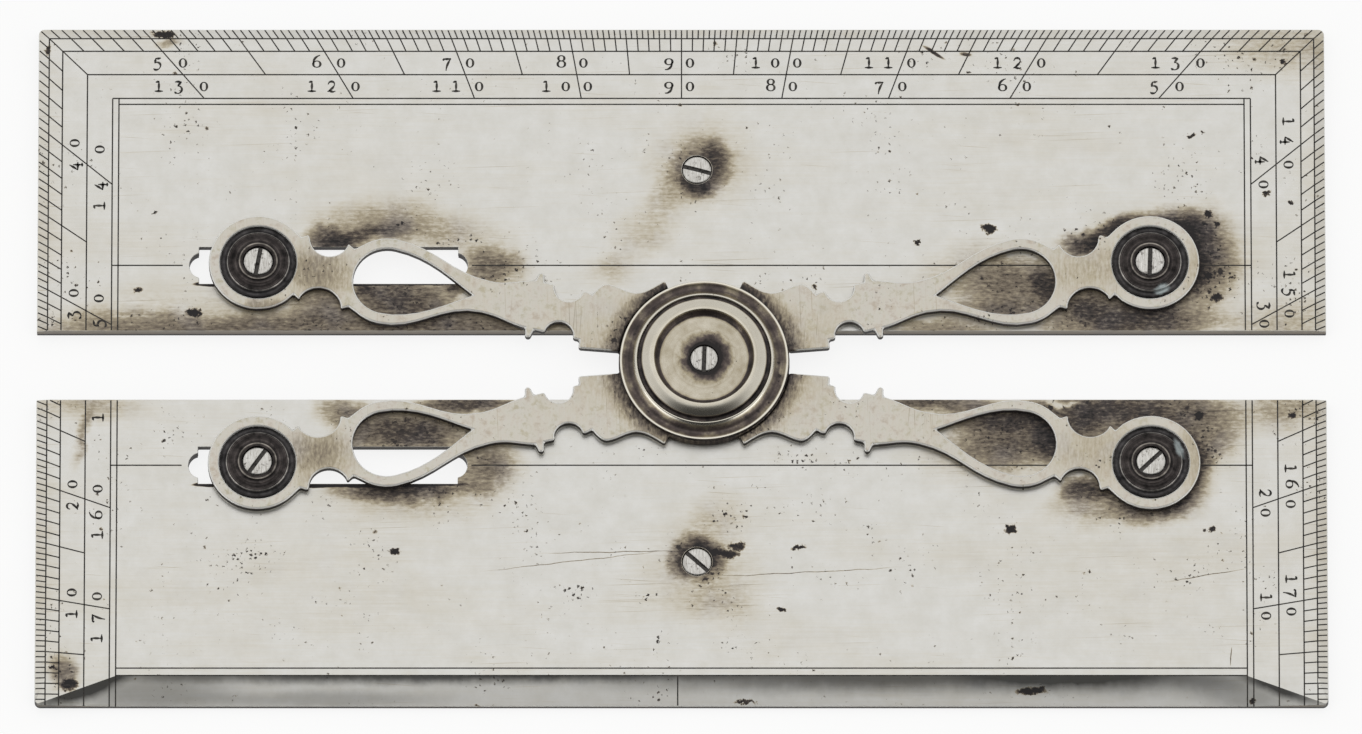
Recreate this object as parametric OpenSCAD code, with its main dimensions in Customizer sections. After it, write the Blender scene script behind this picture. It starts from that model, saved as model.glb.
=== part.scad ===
// Scissor-jointed parallel rule in white metal. Two flat plates are carried apart by a crossed
// pair of pierced bars: the right-hand pivots are fixed in the plates and the left-hand ones
// ride in slots. It is drawn partly open, lying flat with the undersides of the plates at z = 0,
// X along the plates, Y from the lower plate to the upper one, origin in the middle.

/* [Plates] */
// Length of each plate
plate_len = 152.4; // [140:0.2:170]
// Width of each plate, half the width of the shut rule
plate_w = 38.1; // [34:0.1:44]
// Thickness of each plate
plate_t = 1.6; // [1.5:0.05:2.4]
// Radius of the outer corners
corner_r = 0.7; // [0.3:0.1:2]
// Width of the bevel on the lower plate's ruling edge
bevel_w = 3.5; // [2:0.1:5]
// Thickness left at the ruling edge
bevel_edge_t = 0.7; // [0.4:0.05:1.2]
// Width of the chamfer on the graduated edges
chamfer_w = 1.25; // [0.6:0.05:2]
// Depth of that chamfer at the edge
chamfer_d = 0.25; // [0.1:0.05:0.6]

/* [Linkage] */
// Distance from the centre of a bar to either of its pivots
arm_len = 54.2; // [51:0.1:58]
// Distance of the pivot lines from the inner edges of the plates
pivot_inset = 8.25; // [7.5:0.05:9.5]
// Distance of the fixed pivots from the right ends of the plates
fixed_inset = 20.8; // [18:0.1:24]
// Gap between the plates as drawn
rest_gap = 8.6; // [4:0.1:14]
// Gap left between the plates when the rule is shut
shut_gap = 0.1; // [0.05:0.05:0.5]
// Opening travel of each bar from the drawn position, in degrees
open_travel = 24; // [18:0.5:26]
// Slack left between the shoulders of the bars at full opening, in degrees
stop_slack = 0.4; // [0.2:0.1:1]

/* [Slots] */
// Width of each slot
slot_w = 4.6; // [4:0.1:5.4]
// Radius of the round nose at each end of a slot
nose_r = 1.64; // [1:0.02:1.9]
// How far the centre of the nose lies inside the end of the slot
nose_in = 0.36; // [0.1:0.02:0.8]
// Length of the sliding block
slider_len = 8.4; // [7.4:0.1:9]
// Clearance between the block and the slot's end at full opening
slot_end_gap = 0.1; // [0.05:0.05:0.5]
// Spare length of slot beyond the shut position
slot_spare = 1.15; // [0.3:0.05:3]
// Width of the keeper's wing on either side of the slot
keeper_wing = 1; // [0.6:0.1:1.6]
// Thickness of the keeper
keeper_t = 0.5; // [0.3:0.05:0.6]

/* [Bars] */
// Thickness of each bar
bar_t = 1.1; // [0.9:0.05:1.6]
// Wall of the ring round each pivot cap
ring_wall = 1.4; // [1:0.05:2]
// Outer radius of the pierced loop
loop_r = 5.4; // [4.8:0.05:6]
// Metal round the opening of the loop
loop_wall = 1.35; // [1:0.05:1.8]
// Distance from a pivot back to the middle of its loop
loop_back = 15.4; // [14.8:0.1:16.5]
// Distance of the loop's middle outside the line through the pivots
loop_off = 1.25; // [0.6:0.05:1.8]
// Distance from the centre to the waist of the arm
waist_at = 27; // [25.5:0.1:27.6]
// Distance from the waist to the point of the loop's opening
eye_gap = 1.6; // [1:0.1:3]
// Outer edge of the arm at the waist
waist_out = 4.1; // [3.6:0.05:4.6]
// Inner edge of the arm at the waist
waist_in = 0; // [-0.5:0.05:0.5]
// Distance from the pivot back to the outer neck cove
neck_out_back = 7.5; // [7.1:0.05:7.9]
// Distance from the pivot back to the inner neck cove
neck_in_back = 8.3; // [7.9:0.05:8.6]
// Outer edge of the neck at its narrowest
neck_out = 2.65; // [2:0.05:3.2]
// Inner edge of the neck at its narrowest
neck_in = -1.4; // [-2:0.05:-0.8]
// Radius of the outer neck cove
neck_out_r = 2.33; // [2:0.05:2.6]
// Radius of the inner neck cove
neck_in_r = 2.67; // [2.3:0.05:2.8]
// Outer edge of the cusps beside the neck
neck_cusp_out = 4.65; // [4.2:0.05:4.8]
// Inner edge of the cusps beside the neck
neck_cusp_in = -3.3; // [-3.6:0.05:-2.8]
// Distance from the centre to the spurs
spur_at = 21.15; // [20.6:0.05:21.8]
// Height of the spurs
spur_h = 1.1; // [0.6:0.05:1.5]
// Radius of the tip of a spur
spur_r = 0.36; // [0.2:0.02:0.5]
// Distance from the centre to the coves behind the spurs
cove_at = 17.6; // [17.3:0.05:18]
// Radius of those coves
cove_r = 1.7; // [1.4:0.05:1.9]
// Outer edge of the arm beside the coves
ledge_out = 5.4; // [5:0.05:5.8]
// Inner edge of the arm beside the coves
ledge_in = -0.7; // [-1:0.05:-0.4]
// Distance from the centre to the step at the end of the straight inner edge
lip_end = 14.85; // [14:0.05:15.2]
// Distance of the straight inner edges from the middle line when shut
lip_gap = 0.55; // [0.2:0.05:0.9]
// Distance from the centre to the crest of the outer wave
crest_at = 13.2; // [12.6:0.05:13.6]
// Outer edge of the arm at that crest
crest_out = 6.95; // [6.7:0.05:7.4]
// Distance from the centre to the trough of the outer wave
trough_at = 10.3; // [9.8:0.05:10.9]
// Outer edge of the arm at that trough
trough_out = 6.6; // [6.2:0.05:6.9]
// Reach of the pointed shoulder beyond the boss
shoulder_reach = 1.2; // [0.8:0.05:1.8]

/* [Centre] */
// Radius of the turned disc
disc_r = 9.97; // [9.2:0.05:10.4]
// Height of the disc's rim
rim_h = 0.6; // [0.4:0.05:1]
// Width of the flat on the rim
rim_w = 0.35; // [0.2:0.05:0.6]
// Width of the cove inside the rim
disc_cove_w = 1.65; // [1.2:0.05:1.9]
// Depth of that cove below the straight line across it
disc_cove_d = 0.25; // [0.1:0.05:0.35]
// Width of the bead
bead_w = 0.37; // [0.2:0.02:0.6]
// Height of the bead's foot above the rim
bead_h = 0.5; // [0.2:0.05:0.8]
// Width of the fine groove inside the bead
groove_w = 0.2; // [0.1:0.05:0.4]
// Depth of that groove
groove_d = 0.12; // [0.05:0.01:0.2]
// Width of the rounded ring
crest_w = 1.5; // [1.1:0.05:1.8]
// Height of the rounded ring above the bead's foot
crest_h = 1; // [0.7:0.05:1.4]
// Width of the coved wall round the dish
dish_wall_w = 0.62; // [0.4:0.02:0.9]
// Depth of the dish below the rounded ring
dish_d = 0.9; // [0.6:0.05:1.2]
// Margin of the bars' bosses outside the disc
boss_lip = 0.13; // [0.05:0.01:0.3]
// Radius of the post that the bars turn on
post_r = 3; // [2.4:0.1:3.6]
// Reach of the post's riveted foot beyond the post
post_foot_w = 1.2; // [0.8:0.1:1.8]
// Thickness of the post's riveted foot
post_foot_t = 0.22; // [0.15:0.01:0.28]

/* [Pivots] */
// Radius of the pivot caps
cap_r = 4.45; // [4.2:0.05:4.8]
// Width of the seat that holds the ring down under the cap
seat_w = 1.1; // [0.8:0.05:1.3]
// Depth of the cap's seat in the ring
seat_d = 0.5; // [0.4:0.05:0.6]
// Width of the cove round the cap's edge
cap_cove_w = 0.79; // [0.5:0.01:1]
// Depth of the cove round the cap's edge
cap_cove_d = 0.12; // [0.05:0.01:0.2]
// Height of the step inside that cove
cap_step_h = 0.16; // [0.1:0.01:0.3]
// Rise of the cap from the step to the lip round its screw
cap_rise = 0.22; // [0.1:0.02:0.4]
// Width of the lip round the screw
cap_lip_w = 0.45; // [0.3:0.05:0.6]
// Radius of the rivet tail of the fixed studs
tail_r = 3; // [2.6:0.1:3.6]
// Thickness of the rivet tail
tail_t = 0.5; // [0.3:0.05:0.7]
// Radius of the studs' shanks in the plates
stud_r = 2; // [1.7:0.05:2.3]

/* [Screws] */
// Radius of the pivot screws' heads
head_r = 1.77; // [1.5:0.01:1.95]
// Thickness of the pivot screws' heads
head_t = 0.45; // [0.4:0.05:0.5]
// Radius of the pivot screws' threads
thread_r = 0.78; // [0.6:0.02:0.9]
// Radius of the centre screw's head
centre_head_r = 1.65; // [1.4:0.05:2]
// Radius of the plate screws' heads
plate_head_r = 1.75; // [1.5:0.05:2.2]
// Thickness of the plate screws' heads
plate_head_t = 0.7; // [0.5:0.05:0.9]
// Radius of the plate screws' threads
plate_thread_r = 1.1; // [0.8:0.05:1.3]
// Distance of the plate screws from the inner edges of the plates
plate_screw_in = 20.3; // [17:0.1:23]
// Distance of the plate screws to the right of the middle
plate_screw_x = 1.83; // [-4:0.01:6]
// Width of the screwdriver slots
driver_w = 0.42; // [0.3:0.02:0.6]
// Depth of the screwdriver slots
driver_d = 0.26; // [0.15:0.01:0.3]

/* [Fits] */
// Gap between faces that slide over each other
run_gap = 0.05; // [0.03:0.01:0.08]
// Radial clearance of the turning and sliding fits
fit_gap = 0.05; // [0.03:0.01:0.08]
// Radial clearance of fixed pieces in their holes
seat_gap = 0.02; // [0.01:0.01:0.04]

/* [Hidden] */
$fn = 64;
// Overshoot of cutting tools past the face that they cut
over = 0.5;
// Steps in each curved stretch of an outline
steps = 8;
// Share of a curve's run that each of its handles takes
handle = 0.42;

// Colours
white_metal = [0.80, 0.79, 0.75];
dark_steel = [0.26, 0.23, 0.21];
bright_steel = [0.74, 0.73, 0.70];

// Angles of the bars from the X axis as drawn, shut and fully open
rest_angle = asin((pivot_inset + rest_gap / 2) / arm_len);
shut_angle = asin((pivot_inset + shut_gap / 2) / arm_len);
open_angle = rest_angle + open_travel;

// Places in plan
inner_y = rest_gap / 2;
pivot_y = inner_y + pivot_inset;
fixed_x = plate_len / 2 - fixed_inset;
function moving_x(angle) = fixed_x - 2 * arm_len * cos(angle);
slide_x = moving_x(rest_angle);
centre_x = fixed_x - arm_len * cos(rest_angle);
plate_screw_y = inner_y + plate_screw_in;
slot_left = moving_x(shut_angle) - slider_len / 2 - slot_spare;
slot_right = moving_x(open_angle) + slider_len / 2 + slot_end_gap;

// Levels
bar_z = plate_t + run_gap;
bar_top = bar_z + bar_t;
half_t = (bar_t - run_gap) / 2;
disc_z = bar_top + run_gap;
cap_z = bar_top - seat_d + run_gap;
keeper_z = run_gap;
keeper_top = keeper_z + keeper_t;
rebate_z = keeper_top + run_gap;
bead_z = disc_z + rim_h + bead_h;
crest_z = bead_z + crest_h;
dish_z = crest_z - dish_d;
cap_rim_z = bar_top + run_gap;
cap_step_z = cap_rim_z + cap_step_h;
cap_lip_z = cap_step_z + cap_rise;
head_z = cap_lip_z - head_t;

// Radii that fit each other
boss_r = disc_r + boss_lip;
boss_room_r = boss_r + fit_gap;
ring_r = cap_r + ring_wall;
journal_r = cap_r - seat_w;
thread_hole_r = thread_r + seat_gap;
cap_step_r = cap_r - cap_cove_w;
head_room_r = head_r + fit_gap;
cap_lip_r = head_room_r + cap_lip_w;
dish_r = disc_r - rim_w - disc_cove_w - bead_w - groove_w - crest_w - dish_wall_w;

// Points of a cubic curve from a to d, without a itself
function curve(a, b, c, d) = [for (i = [1:steps]) let (t = i / steps, s = 1 - t)
    s * s * s * a + 3 * s * s * t * b + 3 * s * t * t * c + t * t * t * d];

// Points of an arc round c
function arc(c, r, from, to, n) = [for (i = [0:n]) let (angle = from + (to - from) * i / n)
    c + r * [cos(angle), sin(angle)]];

// Points of a profile between two radii, with its height given by a function of the way along
function profile(r0, r1, height) = [for (i = [0:steps]) let (t = i / steps)
    [r0 + (r1 - r0) * t, height(t)]];

// Outline of a plate: sharp corners on the inner edge at y = 0, round ones on the outer edge
module plate_outline() {
    difference() {
        translate([-plate_len / 2, 0])
            square([plate_len, plate_w]);
        for (side = [-1, 1])
            translate([side * plate_len / 2, plate_w])
                difference() {
                    square(2 * corner_r, center = true);
                    translate([-side * corner_r, -corner_r])
                        circle(corner_r);
                }
    }
}

// Wedge along X that takes d off the top of an edge at y = 0 and runs out w further in
module edge_wedge(w, d) {
    rotate([90, 0, 90])
        linear_extrude(plate_len + 2 * over, center = true)
            polygon([[0, plate_t - d], [w, plate_t], [w, plate_t + over], [-over, plate_t + over],
                [-over, plate_t - d - d / w * over]]);
}

// Outline of a slot from its left end to its right end, with a round nose at each end
module slot_outline(left, right) {
    translate([left, -slot_w / 2])
        square([right - left, slot_w]);
    translate([left + nose_in, 0])
        circle(nose_r + nose_in);
    translate([right - nose_in, 0])
        circle(nose_r + nose_in);
}

// A plate lying outwards from its inner edge at y = 0, with its holes; edge_w and edge_d shape
// the long outer edge
module plate(edge_w, edge_d) {
    rebate_w = slot_w + 2 * (keeper_wing + fit_gap);
    difference() {
        linear_extrude(plate_t)
            plate_outline();
        translate([0, plate_w, 0])
            rotate(180)
                edge_wedge(edge_w, edge_d);
        for (side = [-1, 1])
            translate([side * plate_len / 2, 0, 0])
                rotate(side * 90)
                    edge_wedge(chamfer_w, chamfer_d);
        translate([0, pivot_inset, -over])
            linear_extrude(plate_t + 2 * over)
                slot_outline(slot_left, slot_right);
        translate([slot_left - fit_gap, pivot_inset - rebate_w / 2, -over])
            cube([slot_right - slot_left + 2 * fit_gap, rebate_w, over + rebate_z]);
        translate([fixed_x, pivot_inset, -over])
            cylinder(r = stud_r + seat_gap, h = plate_t + 2 * over);
        translate([fixed_x, pivot_inset, -over])
            cylinder(r = tail_r + seat_gap, h = over + run_gap + tail_t);
        translate([plate_screw_x, plate_screw_in, -over])
            cylinder(r = plate_thread_r + seat_gap, h = plate_t + 2 * over);
        translate([plate_screw_x, plate_screw_in, plate_t - plate_head_t])
            cylinder(r = plate_head_r + fit_gap, h = plate_head_t + over);
    }
}

module upper_plate() {
    color(white_metal)
        translate([0, inner_y, 0])
            plate(chamfer_w, chamfer_d);
}

module lower_plate() {
    color(white_metal)
        translate([0, -inner_y, 0])
            mirror([0, 1, 0])
                plate(bevel_w, plate_t - bevel_edge_t);
}

// Straight inner edge of an arm, parallel to the middle line when the rule is shut
function lip(u) = [u, (lip_gap - u * sin(shut_angle)) / cos(shut_angle)];

// Stem of an arm from the centre of the bar to the far end of its loop, along X with the outer
// edge at positive Y: radial shoulder, wave, ledges with spurs, waist, and the round of the loop
module stem_outline() {
    shoulder_angle = 90 - rest_angle - open_travel - stop_slack;
    shoulder_r = boss_r + shoulder_reach;
    shoulder = shoulder_r * [cos(shoulder_angle), sin(shoulder_angle)];
    // Level run of the ledges past the spurs, then the lean of the two sweeps to the waist
    spur_run = 0.8;
    lean_in = 0.2;
    lean_out = 0.6;
    // Slant of the step in the inner edge, and the notch opposite it in the outer edge
    step_slant = 0.15;
    notch_w = 0.6;
    notch_d = 0.2;
    // Handles of the two short curves that end the wave, at the notch and at the shoulder
    notch_handle = [-0.4, 0.8];
    crest_handle = [0.8, 0];
    trough_handle = [-1.3, 0];
    shoulder_handle = [1.1, -1.2];
    loop_c = [arm_len - loop_back, loop_off];
    loop_low = loop_c - [0, loop_r];
    loop_high = loop_c + [0, loop_r];
    waist_low = [waist_at, waist_in];
    waist_high = [waist_at, waist_out];
    spur_low = [spur_at + spur_run, ledge_in];
    spur_high = [spur_at + spur_run, ledge_out];
    pull = (loop_c[0] - waist_at) * handle;
    sweep = (waist_at - spur_low[0]) * handle;
    crest = [crest_at, crest_out];
    trough = [trough_at, trough_out];
    notch = [lip_end, ledge_out - notch_d];
    wave = (crest_at - trough_at) * handle;
    polygon(concat(
        [[0, 0], lip(boss_r - boss_lip), lip(lip_end), [lip_end + step_slant, ledge_in], spur_low],
        curve(spur_low, spur_low + [sweep, lean_in], waist_low - [sweep, 0], waist_low),
        curve(waist_low, waist_low + [pull, 0], loop_low - [pull, 0], loop_low),
        arc(loop_c, loop_r, -90, 90, 3 * steps),
        curve(loop_high, loop_high - [pull, 0], waist_high + [pull, 0], waist_high),
        curve(waist_high, waist_high - [sweep, 0], spur_high + [sweep, -lean_out], spur_high),
        [[lip_end + notch_w, ledge_out], notch],
        curve(notch, notch + notch_handle, crest + crest_handle, crest),
        curve(crest, crest - [wave, 0], trough + [wave, 0], trough),
        curve(trough, trough + trough_handle, shoulder + shoulder_handle, shoulder)));
}

// Pear-shaped opening of a loop, round towards the pivot and pointed towards the waist
module eye_outline() {
    // Offset of the point from the middle of the waist, and its two handles
    tip_off = -0.2;
    tip_high = [2.9, 1.35];
    tip_low = [2.4, -1.45];
    loop_c = [arm_len - loop_back, loop_off];
    eye_r = loop_r - loop_wall;
    low = loop_c - [0, eye_r];
    high = loop_c + [0, eye_r];
    tip = [waist_at + eye_gap, (waist_out + waist_in) / 2 + tip_off];
    pull = (loop_c[0] - tip[0]) * handle;
    polygon(concat(
        arc(loop_c, eye_r, -90, 90, 3 * steps),
        curve(high, high - [pull, 0], tip + tip_high, tip),
        curve(tip, tip + tip_low, low - [pull, 0], low)));
}

// One pointed spur standing out from an edge at y = 0
module spur() {
    // Half the width of its foot
    foot = 0.55;
    polygon([[-foot, -over], [foot, -over], [foot, 0], [spur_r, spur_h - spur_r],
        [-spur_r, spur_h - spur_r], [-foot, 0]]);
    translate([0, spur_h - spur_r])
        circle(spur_r);
}

// One arm in plan, from the centre of the bar to the ring round its pivot
module arm_outline() {
    // How far the outer spur and cove lie beyond their stations, and the inner ones short of them
    skew = 0.1;
    difference() {
        union() {
            stem_outline();
            translate([spur_at + skew, ledge_out])
                spur();
            translate([spur_at - skew, ledge_in])
                mirror([0, 1])
                    spur();
            translate([arm_len - loop_back + loop_wall, neck_cusp_in])
                square([loop_back - loop_wall - journal_r, neck_cusp_out - neck_cusp_in]);
            translate([arm_len, 0])
                circle(ring_r);
        }
        eye_outline();
        translate([cove_at + skew, ledge_out])
            circle(cove_r);
        translate([cove_at - skew, ledge_in])
            circle(cove_r);
        translate([arm_len - neck_out_back, neck_out + neck_out_r])
            circle(neck_out_r);
        translate([arm_len - neck_in_back, neck_in - neck_in_r])
            circle(neck_in_r);
    }
}

// A bar along X with its boss halved: boss_low is the underside of the boss and room_low the
// underside of the room left for the other bar's boss
module bar(boss_low, room_low) {
    difference() {
        union() {
            difference() {
                translate([0, 0, bar_z])
                    linear_extrude(bar_t)
                        for (turn = [0, 180])
                            rotate(turn)
                                arm_outline();
                translate([0, 0, room_low])
                    cylinder(r = boss_room_r, h = bar_t);
            }
            translate([0, 0, boss_low])
                cylinder(r = boss_r, h = half_t);
        }
        for (side = [-1, 1])
            translate([side * arm_len, 0, 0]) {
                translate([0, 0, bar_z - over])
                    cylinder(r = journal_r + fit_gap, h = bar_t + 2 * over);
                translate([0, 0, bar_top - seat_d])
                    cylinder(r = cap_r + fit_gap, h = seat_d + over);
            }
        translate([0, 0, bar_z - over])
            cylinder(r = post_r + fit_gap, h = bar_t + 2 * over);
        children();
    }
}

module falling_bar() {
    color(white_metal)
        translate([centre_x, 0, 0])
            rotate(-rest_angle)
                mirror([0, 1, 0])
                    bar(bar_z, bar_z + half_t)
                        translate([0, 0, bar_z - over])
                            cylinder(r = post_r + post_foot_w + fit_gap, h = over + post_foot_t);
}

module rising_bar() {
    color(white_metal)
        translate([centre_x, 0, 0])
            rotate(rest_angle)
                bar(bar_top - half_t, bar_top - half_t - bar_t);
}

module centre_post() {
    color(bright_steel)
        translate([centre_x, 0, 0])
            difference() {
                union() {
                    translate([0, 0, bar_z])
                        cylinder(r = post_r, h = disc_z - bar_z);
                    translate([0, 0, bar_z])
                        cylinder(r = post_r + post_foot_w, h = post_foot_t);
                }
                translate([0, 0, bar_z - over])
                    cylinder(r = thread_hole_r, h = disc_z - bar_z + 2 * over);
            }
}

module centre_disc() {
    cove_r0 = disc_r - rim_w;
    bead_r0 = cove_r0 - disc_cove_w;
    groove_r0 = bead_r0 - bead_w;
    crest_r0 = groove_r0 - groove_w;
    wall_r0 = crest_r0 - crest_w;
    rim_z = disc_z + rim_h;
    rise = bead_z - rim_z;
    recess_r = centre_head_r + fit_gap;
    recess_z = dish_z - head_t;
    color(white_metal)
        translate([centre_x, 0, 0])
            rotate_extrude()
                polygon(concat(
                    [[thread_hole_r, disc_z], [disc_r, disc_z], [disc_r, rim_z]],
                    profile(cove_r0, bead_r0, function(t) rim_z + rise * t * t - disc_cove_d * sin(180 * t)),
                    profile(bead_r0, groove_r0, function(t) bead_z + bead_w / 3 * sin(180 * t)),
                    [[groove_r0 - groove_w / 2, bead_z - groove_d]],
                    profile(crest_r0, wall_r0, function(t) bead_z + crest_h * sin(90 * t)),
                    profile(wall_r0, dish_r, function(t) crest_z - dish_d * sin(90 * t)),
                    [[recess_r, dish_z], [recess_r, recess_z], [thread_hole_r, recess_z]]));
}

// A screw with its head's underside at z = 0, its thread going down, and its slot turned
module screw(r, t, thread, depth, turn) {
    difference() {
        union() {
            cylinder(r = r, h = t);
            translate([0, 0, -depth])
                cylinder(r = thread, h = depth + t / 2);
        }
        rotate(turn)
            translate([-r - over, -driver_w / 2, t - driver_d])
                cube([2 * (r + over), driver_w, driver_d + over]);
    }
}

module centre_screw() {
    head_low = dish_z - head_t;
    color(bright_steel)
        translate([centre_x, 0, head_low])
            screw(centre_head_r, head_t + run_gap, thread_r, head_low - bar_z - run_gap, 88);
}

// Journal that a ring turns on, with its underside at z
module journal(z) {
    translate([0, 0, z])
        cylinder(r = journal_r, h = cap_z - z);
}

// Block that runs in a slot, with its journal on top
module slider(y) {
    block_w = slot_w - 2 * fit_gap;
    color(bright_steel)
        translate([slide_x, y, 0])
            difference() {
                union() {
                    journal(bar_z);
                    translate([-slider_len / 2, -block_w / 2, keeper_top])
                        cube([slider_len, block_w, bar_z - keeper_top]);
                }
                translate([0, 0, -over])
                    cylinder(r = thread_hole_r, h = cap_z + 2 * over);
            }
}

module upper_slider() {
    slider(pivot_y);
}

module lower_slider() {
    slider(-pivot_y);
}

// Plate clamped under a slider, which holds it down in the slot
module keeper(y) {
    keeper_w = slot_w + 2 * keeper_wing;
    color(bright_steel)
        translate([slide_x, y, keeper_z])
            difference() {
                translate([-slider_len / 2, -keeper_w / 2, 0])
                    cube([slider_len, keeper_w, keeper_t]);
                translate([0, 0, -over])
                    cylinder(r = thread_hole_r, h = keeper_t + 2 * over);
            }
}

module upper_keeper() {
    keeper(pivot_y);
}

module lower_keeper() {
    keeper(-pivot_y);
}

// Stud riveted into a plate, with its journal standing on the plate
module stud(y) {
    color(bright_steel)
        translate([fixed_x, y, 0])
            difference() {
                union() {
                    journal(plate_t);
                    translate([0, 0, run_gap])
                        cylinder(r = stud_r, h = plate_t);
                    translate([0, 0, run_gap])
                        cylinder(r = tail_r, h = tail_t);
                }
                translate([0, 0, -over])
                    cylinder(r = thread_hole_r, h = cap_z + 2 * over);
            }
}

module upper_stud() {
    stud(pivot_y);
}

module lower_stud() {
    stud(-pivot_y);
}

// Turned cap that holds a ring down on its journal: coved edge, step, slope and raised lip
module cap(x, y) {
    // Foot of the lip, outside it
    lip_foot = (cap_step_r - cap_lip_r) / 10;
    color(dark_steel)
        translate([x, y, 0])
            rotate_extrude()
                polygon(concat(
                    [[thread_hole_r, cap_z], [cap_r, cap_z]],
                    profile(cap_r, cap_step_r, function(t) cap_rim_z - cap_cove_d * sin(180 * t)),
                    [[cap_step_r, cap_step_z],
                        [cap_lip_r + lip_foot, cap_lip_z - cap_rise / 2],
                        [cap_lip_r, cap_lip_z],
                        [head_room_r, cap_lip_z],
                        [head_room_r, head_z],
                        [thread_hole_r, head_z]]));
}

module upper_left_cap() {
    cap(slide_x, pivot_y);
}

module upper_right_cap() {
    cap(fixed_x, pivot_y);
}

module lower_left_cap() {
    cap(slide_x, -pivot_y);
}

module lower_right_cap() {
    cap(fixed_x, -pivot_y);
}

// Screw that clamps a cap down, through the journal to just above the underside
module pivot_screw(x, y, turn) {
    color(bright_steel)
        translate([x, y, head_z])
            screw(head_r, head_t, thread_r, head_z - 2 * run_gap, turn);
}

module upper_left_screw() {
    pivot_screw(slide_x, pivot_y, 80);
}

module upper_right_screw() {
    pivot_screw(fixed_x, pivot_y, 88);
}

module lower_left_screw() {
    pivot_screw(slide_x, -pivot_y, 55);
}

module lower_right_screw() {
    pivot_screw(fixed_x, -pivot_y, 44);
}

// Flush screw in the middle of a plate
module plate_screw(y, turn) {
    head_low = plate_t - plate_head_t;
    color(bright_steel)
        translate([plate_screw_x, y, head_low])
            screw(plate_head_r, plate_head_t, plate_thread_r, head_low - run_gap, turn);
}

module upper_plate_screw() {
    plate_screw(plate_screw_y, -15);
}

module lower_plate_screw() {
    plate_screw(-plate_screw_y, -42);
}

upper_plate();
lower_plate();
falling_bar();
rising_bar();
centre_post();
centre_disc();
centre_screw();
upper_slider();
lower_slider();
upper_keeper();
lower_keeper();
upper_stud();
lower_stud();
upper_left_cap();
upper_right_cap();
lower_left_cap();
lower_right_cap();
upper_left_screw();
upper_right_screw();
lower_left_screw();
lower_right_screw();
upper_plate_screw();
lower_plate_screw();
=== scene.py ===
# Scissor-jointed parallel rule of white metal, lying partly open on a pale table.
import math

import bmesh
import bpy
import numpy as np
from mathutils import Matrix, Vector


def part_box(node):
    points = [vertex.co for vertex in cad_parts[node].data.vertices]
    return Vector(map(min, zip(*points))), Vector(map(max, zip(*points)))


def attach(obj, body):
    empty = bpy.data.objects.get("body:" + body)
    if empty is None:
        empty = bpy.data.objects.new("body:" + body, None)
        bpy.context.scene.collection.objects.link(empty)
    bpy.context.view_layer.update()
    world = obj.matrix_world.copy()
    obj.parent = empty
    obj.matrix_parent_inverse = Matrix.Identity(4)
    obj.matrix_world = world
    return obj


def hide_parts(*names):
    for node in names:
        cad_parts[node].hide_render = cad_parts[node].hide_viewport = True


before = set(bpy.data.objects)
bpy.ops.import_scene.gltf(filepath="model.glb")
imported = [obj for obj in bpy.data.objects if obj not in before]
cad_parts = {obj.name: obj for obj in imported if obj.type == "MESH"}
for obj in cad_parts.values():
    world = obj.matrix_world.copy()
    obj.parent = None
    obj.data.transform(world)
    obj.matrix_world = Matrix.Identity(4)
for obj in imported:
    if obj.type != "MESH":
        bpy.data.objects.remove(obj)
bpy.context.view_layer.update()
scene = bpy.context.scene
scene.view_settings.view_transform = "Standard"
MM = 0.001

# Camera. A long lens four metres off keeps both plates nearly the same length in the picture, and it
# looks down on them from the front, about twenty degrees short of straight down.
CAMERA_RISE = math.radians(70.2)
CAMERA_OFF = 4.0
VIEW_W = 161.0 * MM
AIM = (-0.06 * MM, 0.35 * MM, 0.0)

camera = bpy.data.objects.new("camera", bpy.data.cameras.new("camera"))
scene.collection.objects.link(camera)
scene.camera = camera
camera.data.lens = camera.data.sensor_width * CAMERA_OFF / VIEW_W
camera.location = (AIM[0], AIM[1] - CAMERA_OFF * math.cos(CAMERA_RISE), CAMERA_OFF * math.sin(CAMERA_RISE))
camera.rotation_euler = (math.pi / 2 - CAMERA_RISE, 0, 0)

# Table. A pale matt sheet under the rule: it takes the rule's shadow, and what looks at it or mirrors
# it sees it nearly white.
TABLE_REACH = 6.0
TABLE_DROP = 0.02 * MM
TABLE_WHITE = "#F4F4F2"
# Share of the sheet's look that is a glow, and how strong the glow is
TABLE_GLOW, GLOW_STRENGTH = 0.8, 1.05
# Corners of a mesh that are nearer than this, in metres, are one
ONE_CORNER = 1e-7


def linear(text):
    """An sRGB hex colour as linear red, green and blue with a full alpha."""
    parts = np.array([int(text[i:i + 2], 16) / 255 for i in (1, 3, 5)])
    return (*np.where(parts <= 0.04045, parts / 12.92, ((parts + 0.055) / 1.055) ** 2.4), 1.0)


def add(tree, kind, sockets=(), out=0, stops=(), **settings):
    """Adds a node, sets its properties and ramp stops, fills its sockets with values or links, by their
    names or in their order, and gives one of its outputs."""
    made = tree.nodes.new("ShaderNode" + kind)
    for name, value in settings.items():
        setattr(made, name, value)
    for i, (at, value) in enumerate(stops):
        element = made.color_ramp.elements[i] if i < 2 else made.color_ramp.elements.new(at)
        element.position = at
        element.color = linear(value) if isinstance(value, str) else (value, value, value, 1)
    for key, value in sockets.items() if isinstance(sockets, dict) else enumerate(sockets):
        if isinstance(value, bpy.types.NodeSocket):
            tree.links.new(value, made.inputs[key])
        else:
            made.inputs[key].default_value = value
    return made.outputs[out] if made.outputs else made


def empty_material(name):
    """A new material, and its node tree with nothing in it."""
    material = bpy.data.materials.new(name)
    material.use_nodes = True
    material.node_tree.nodes.clear()
    return material, material.node_tree


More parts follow.
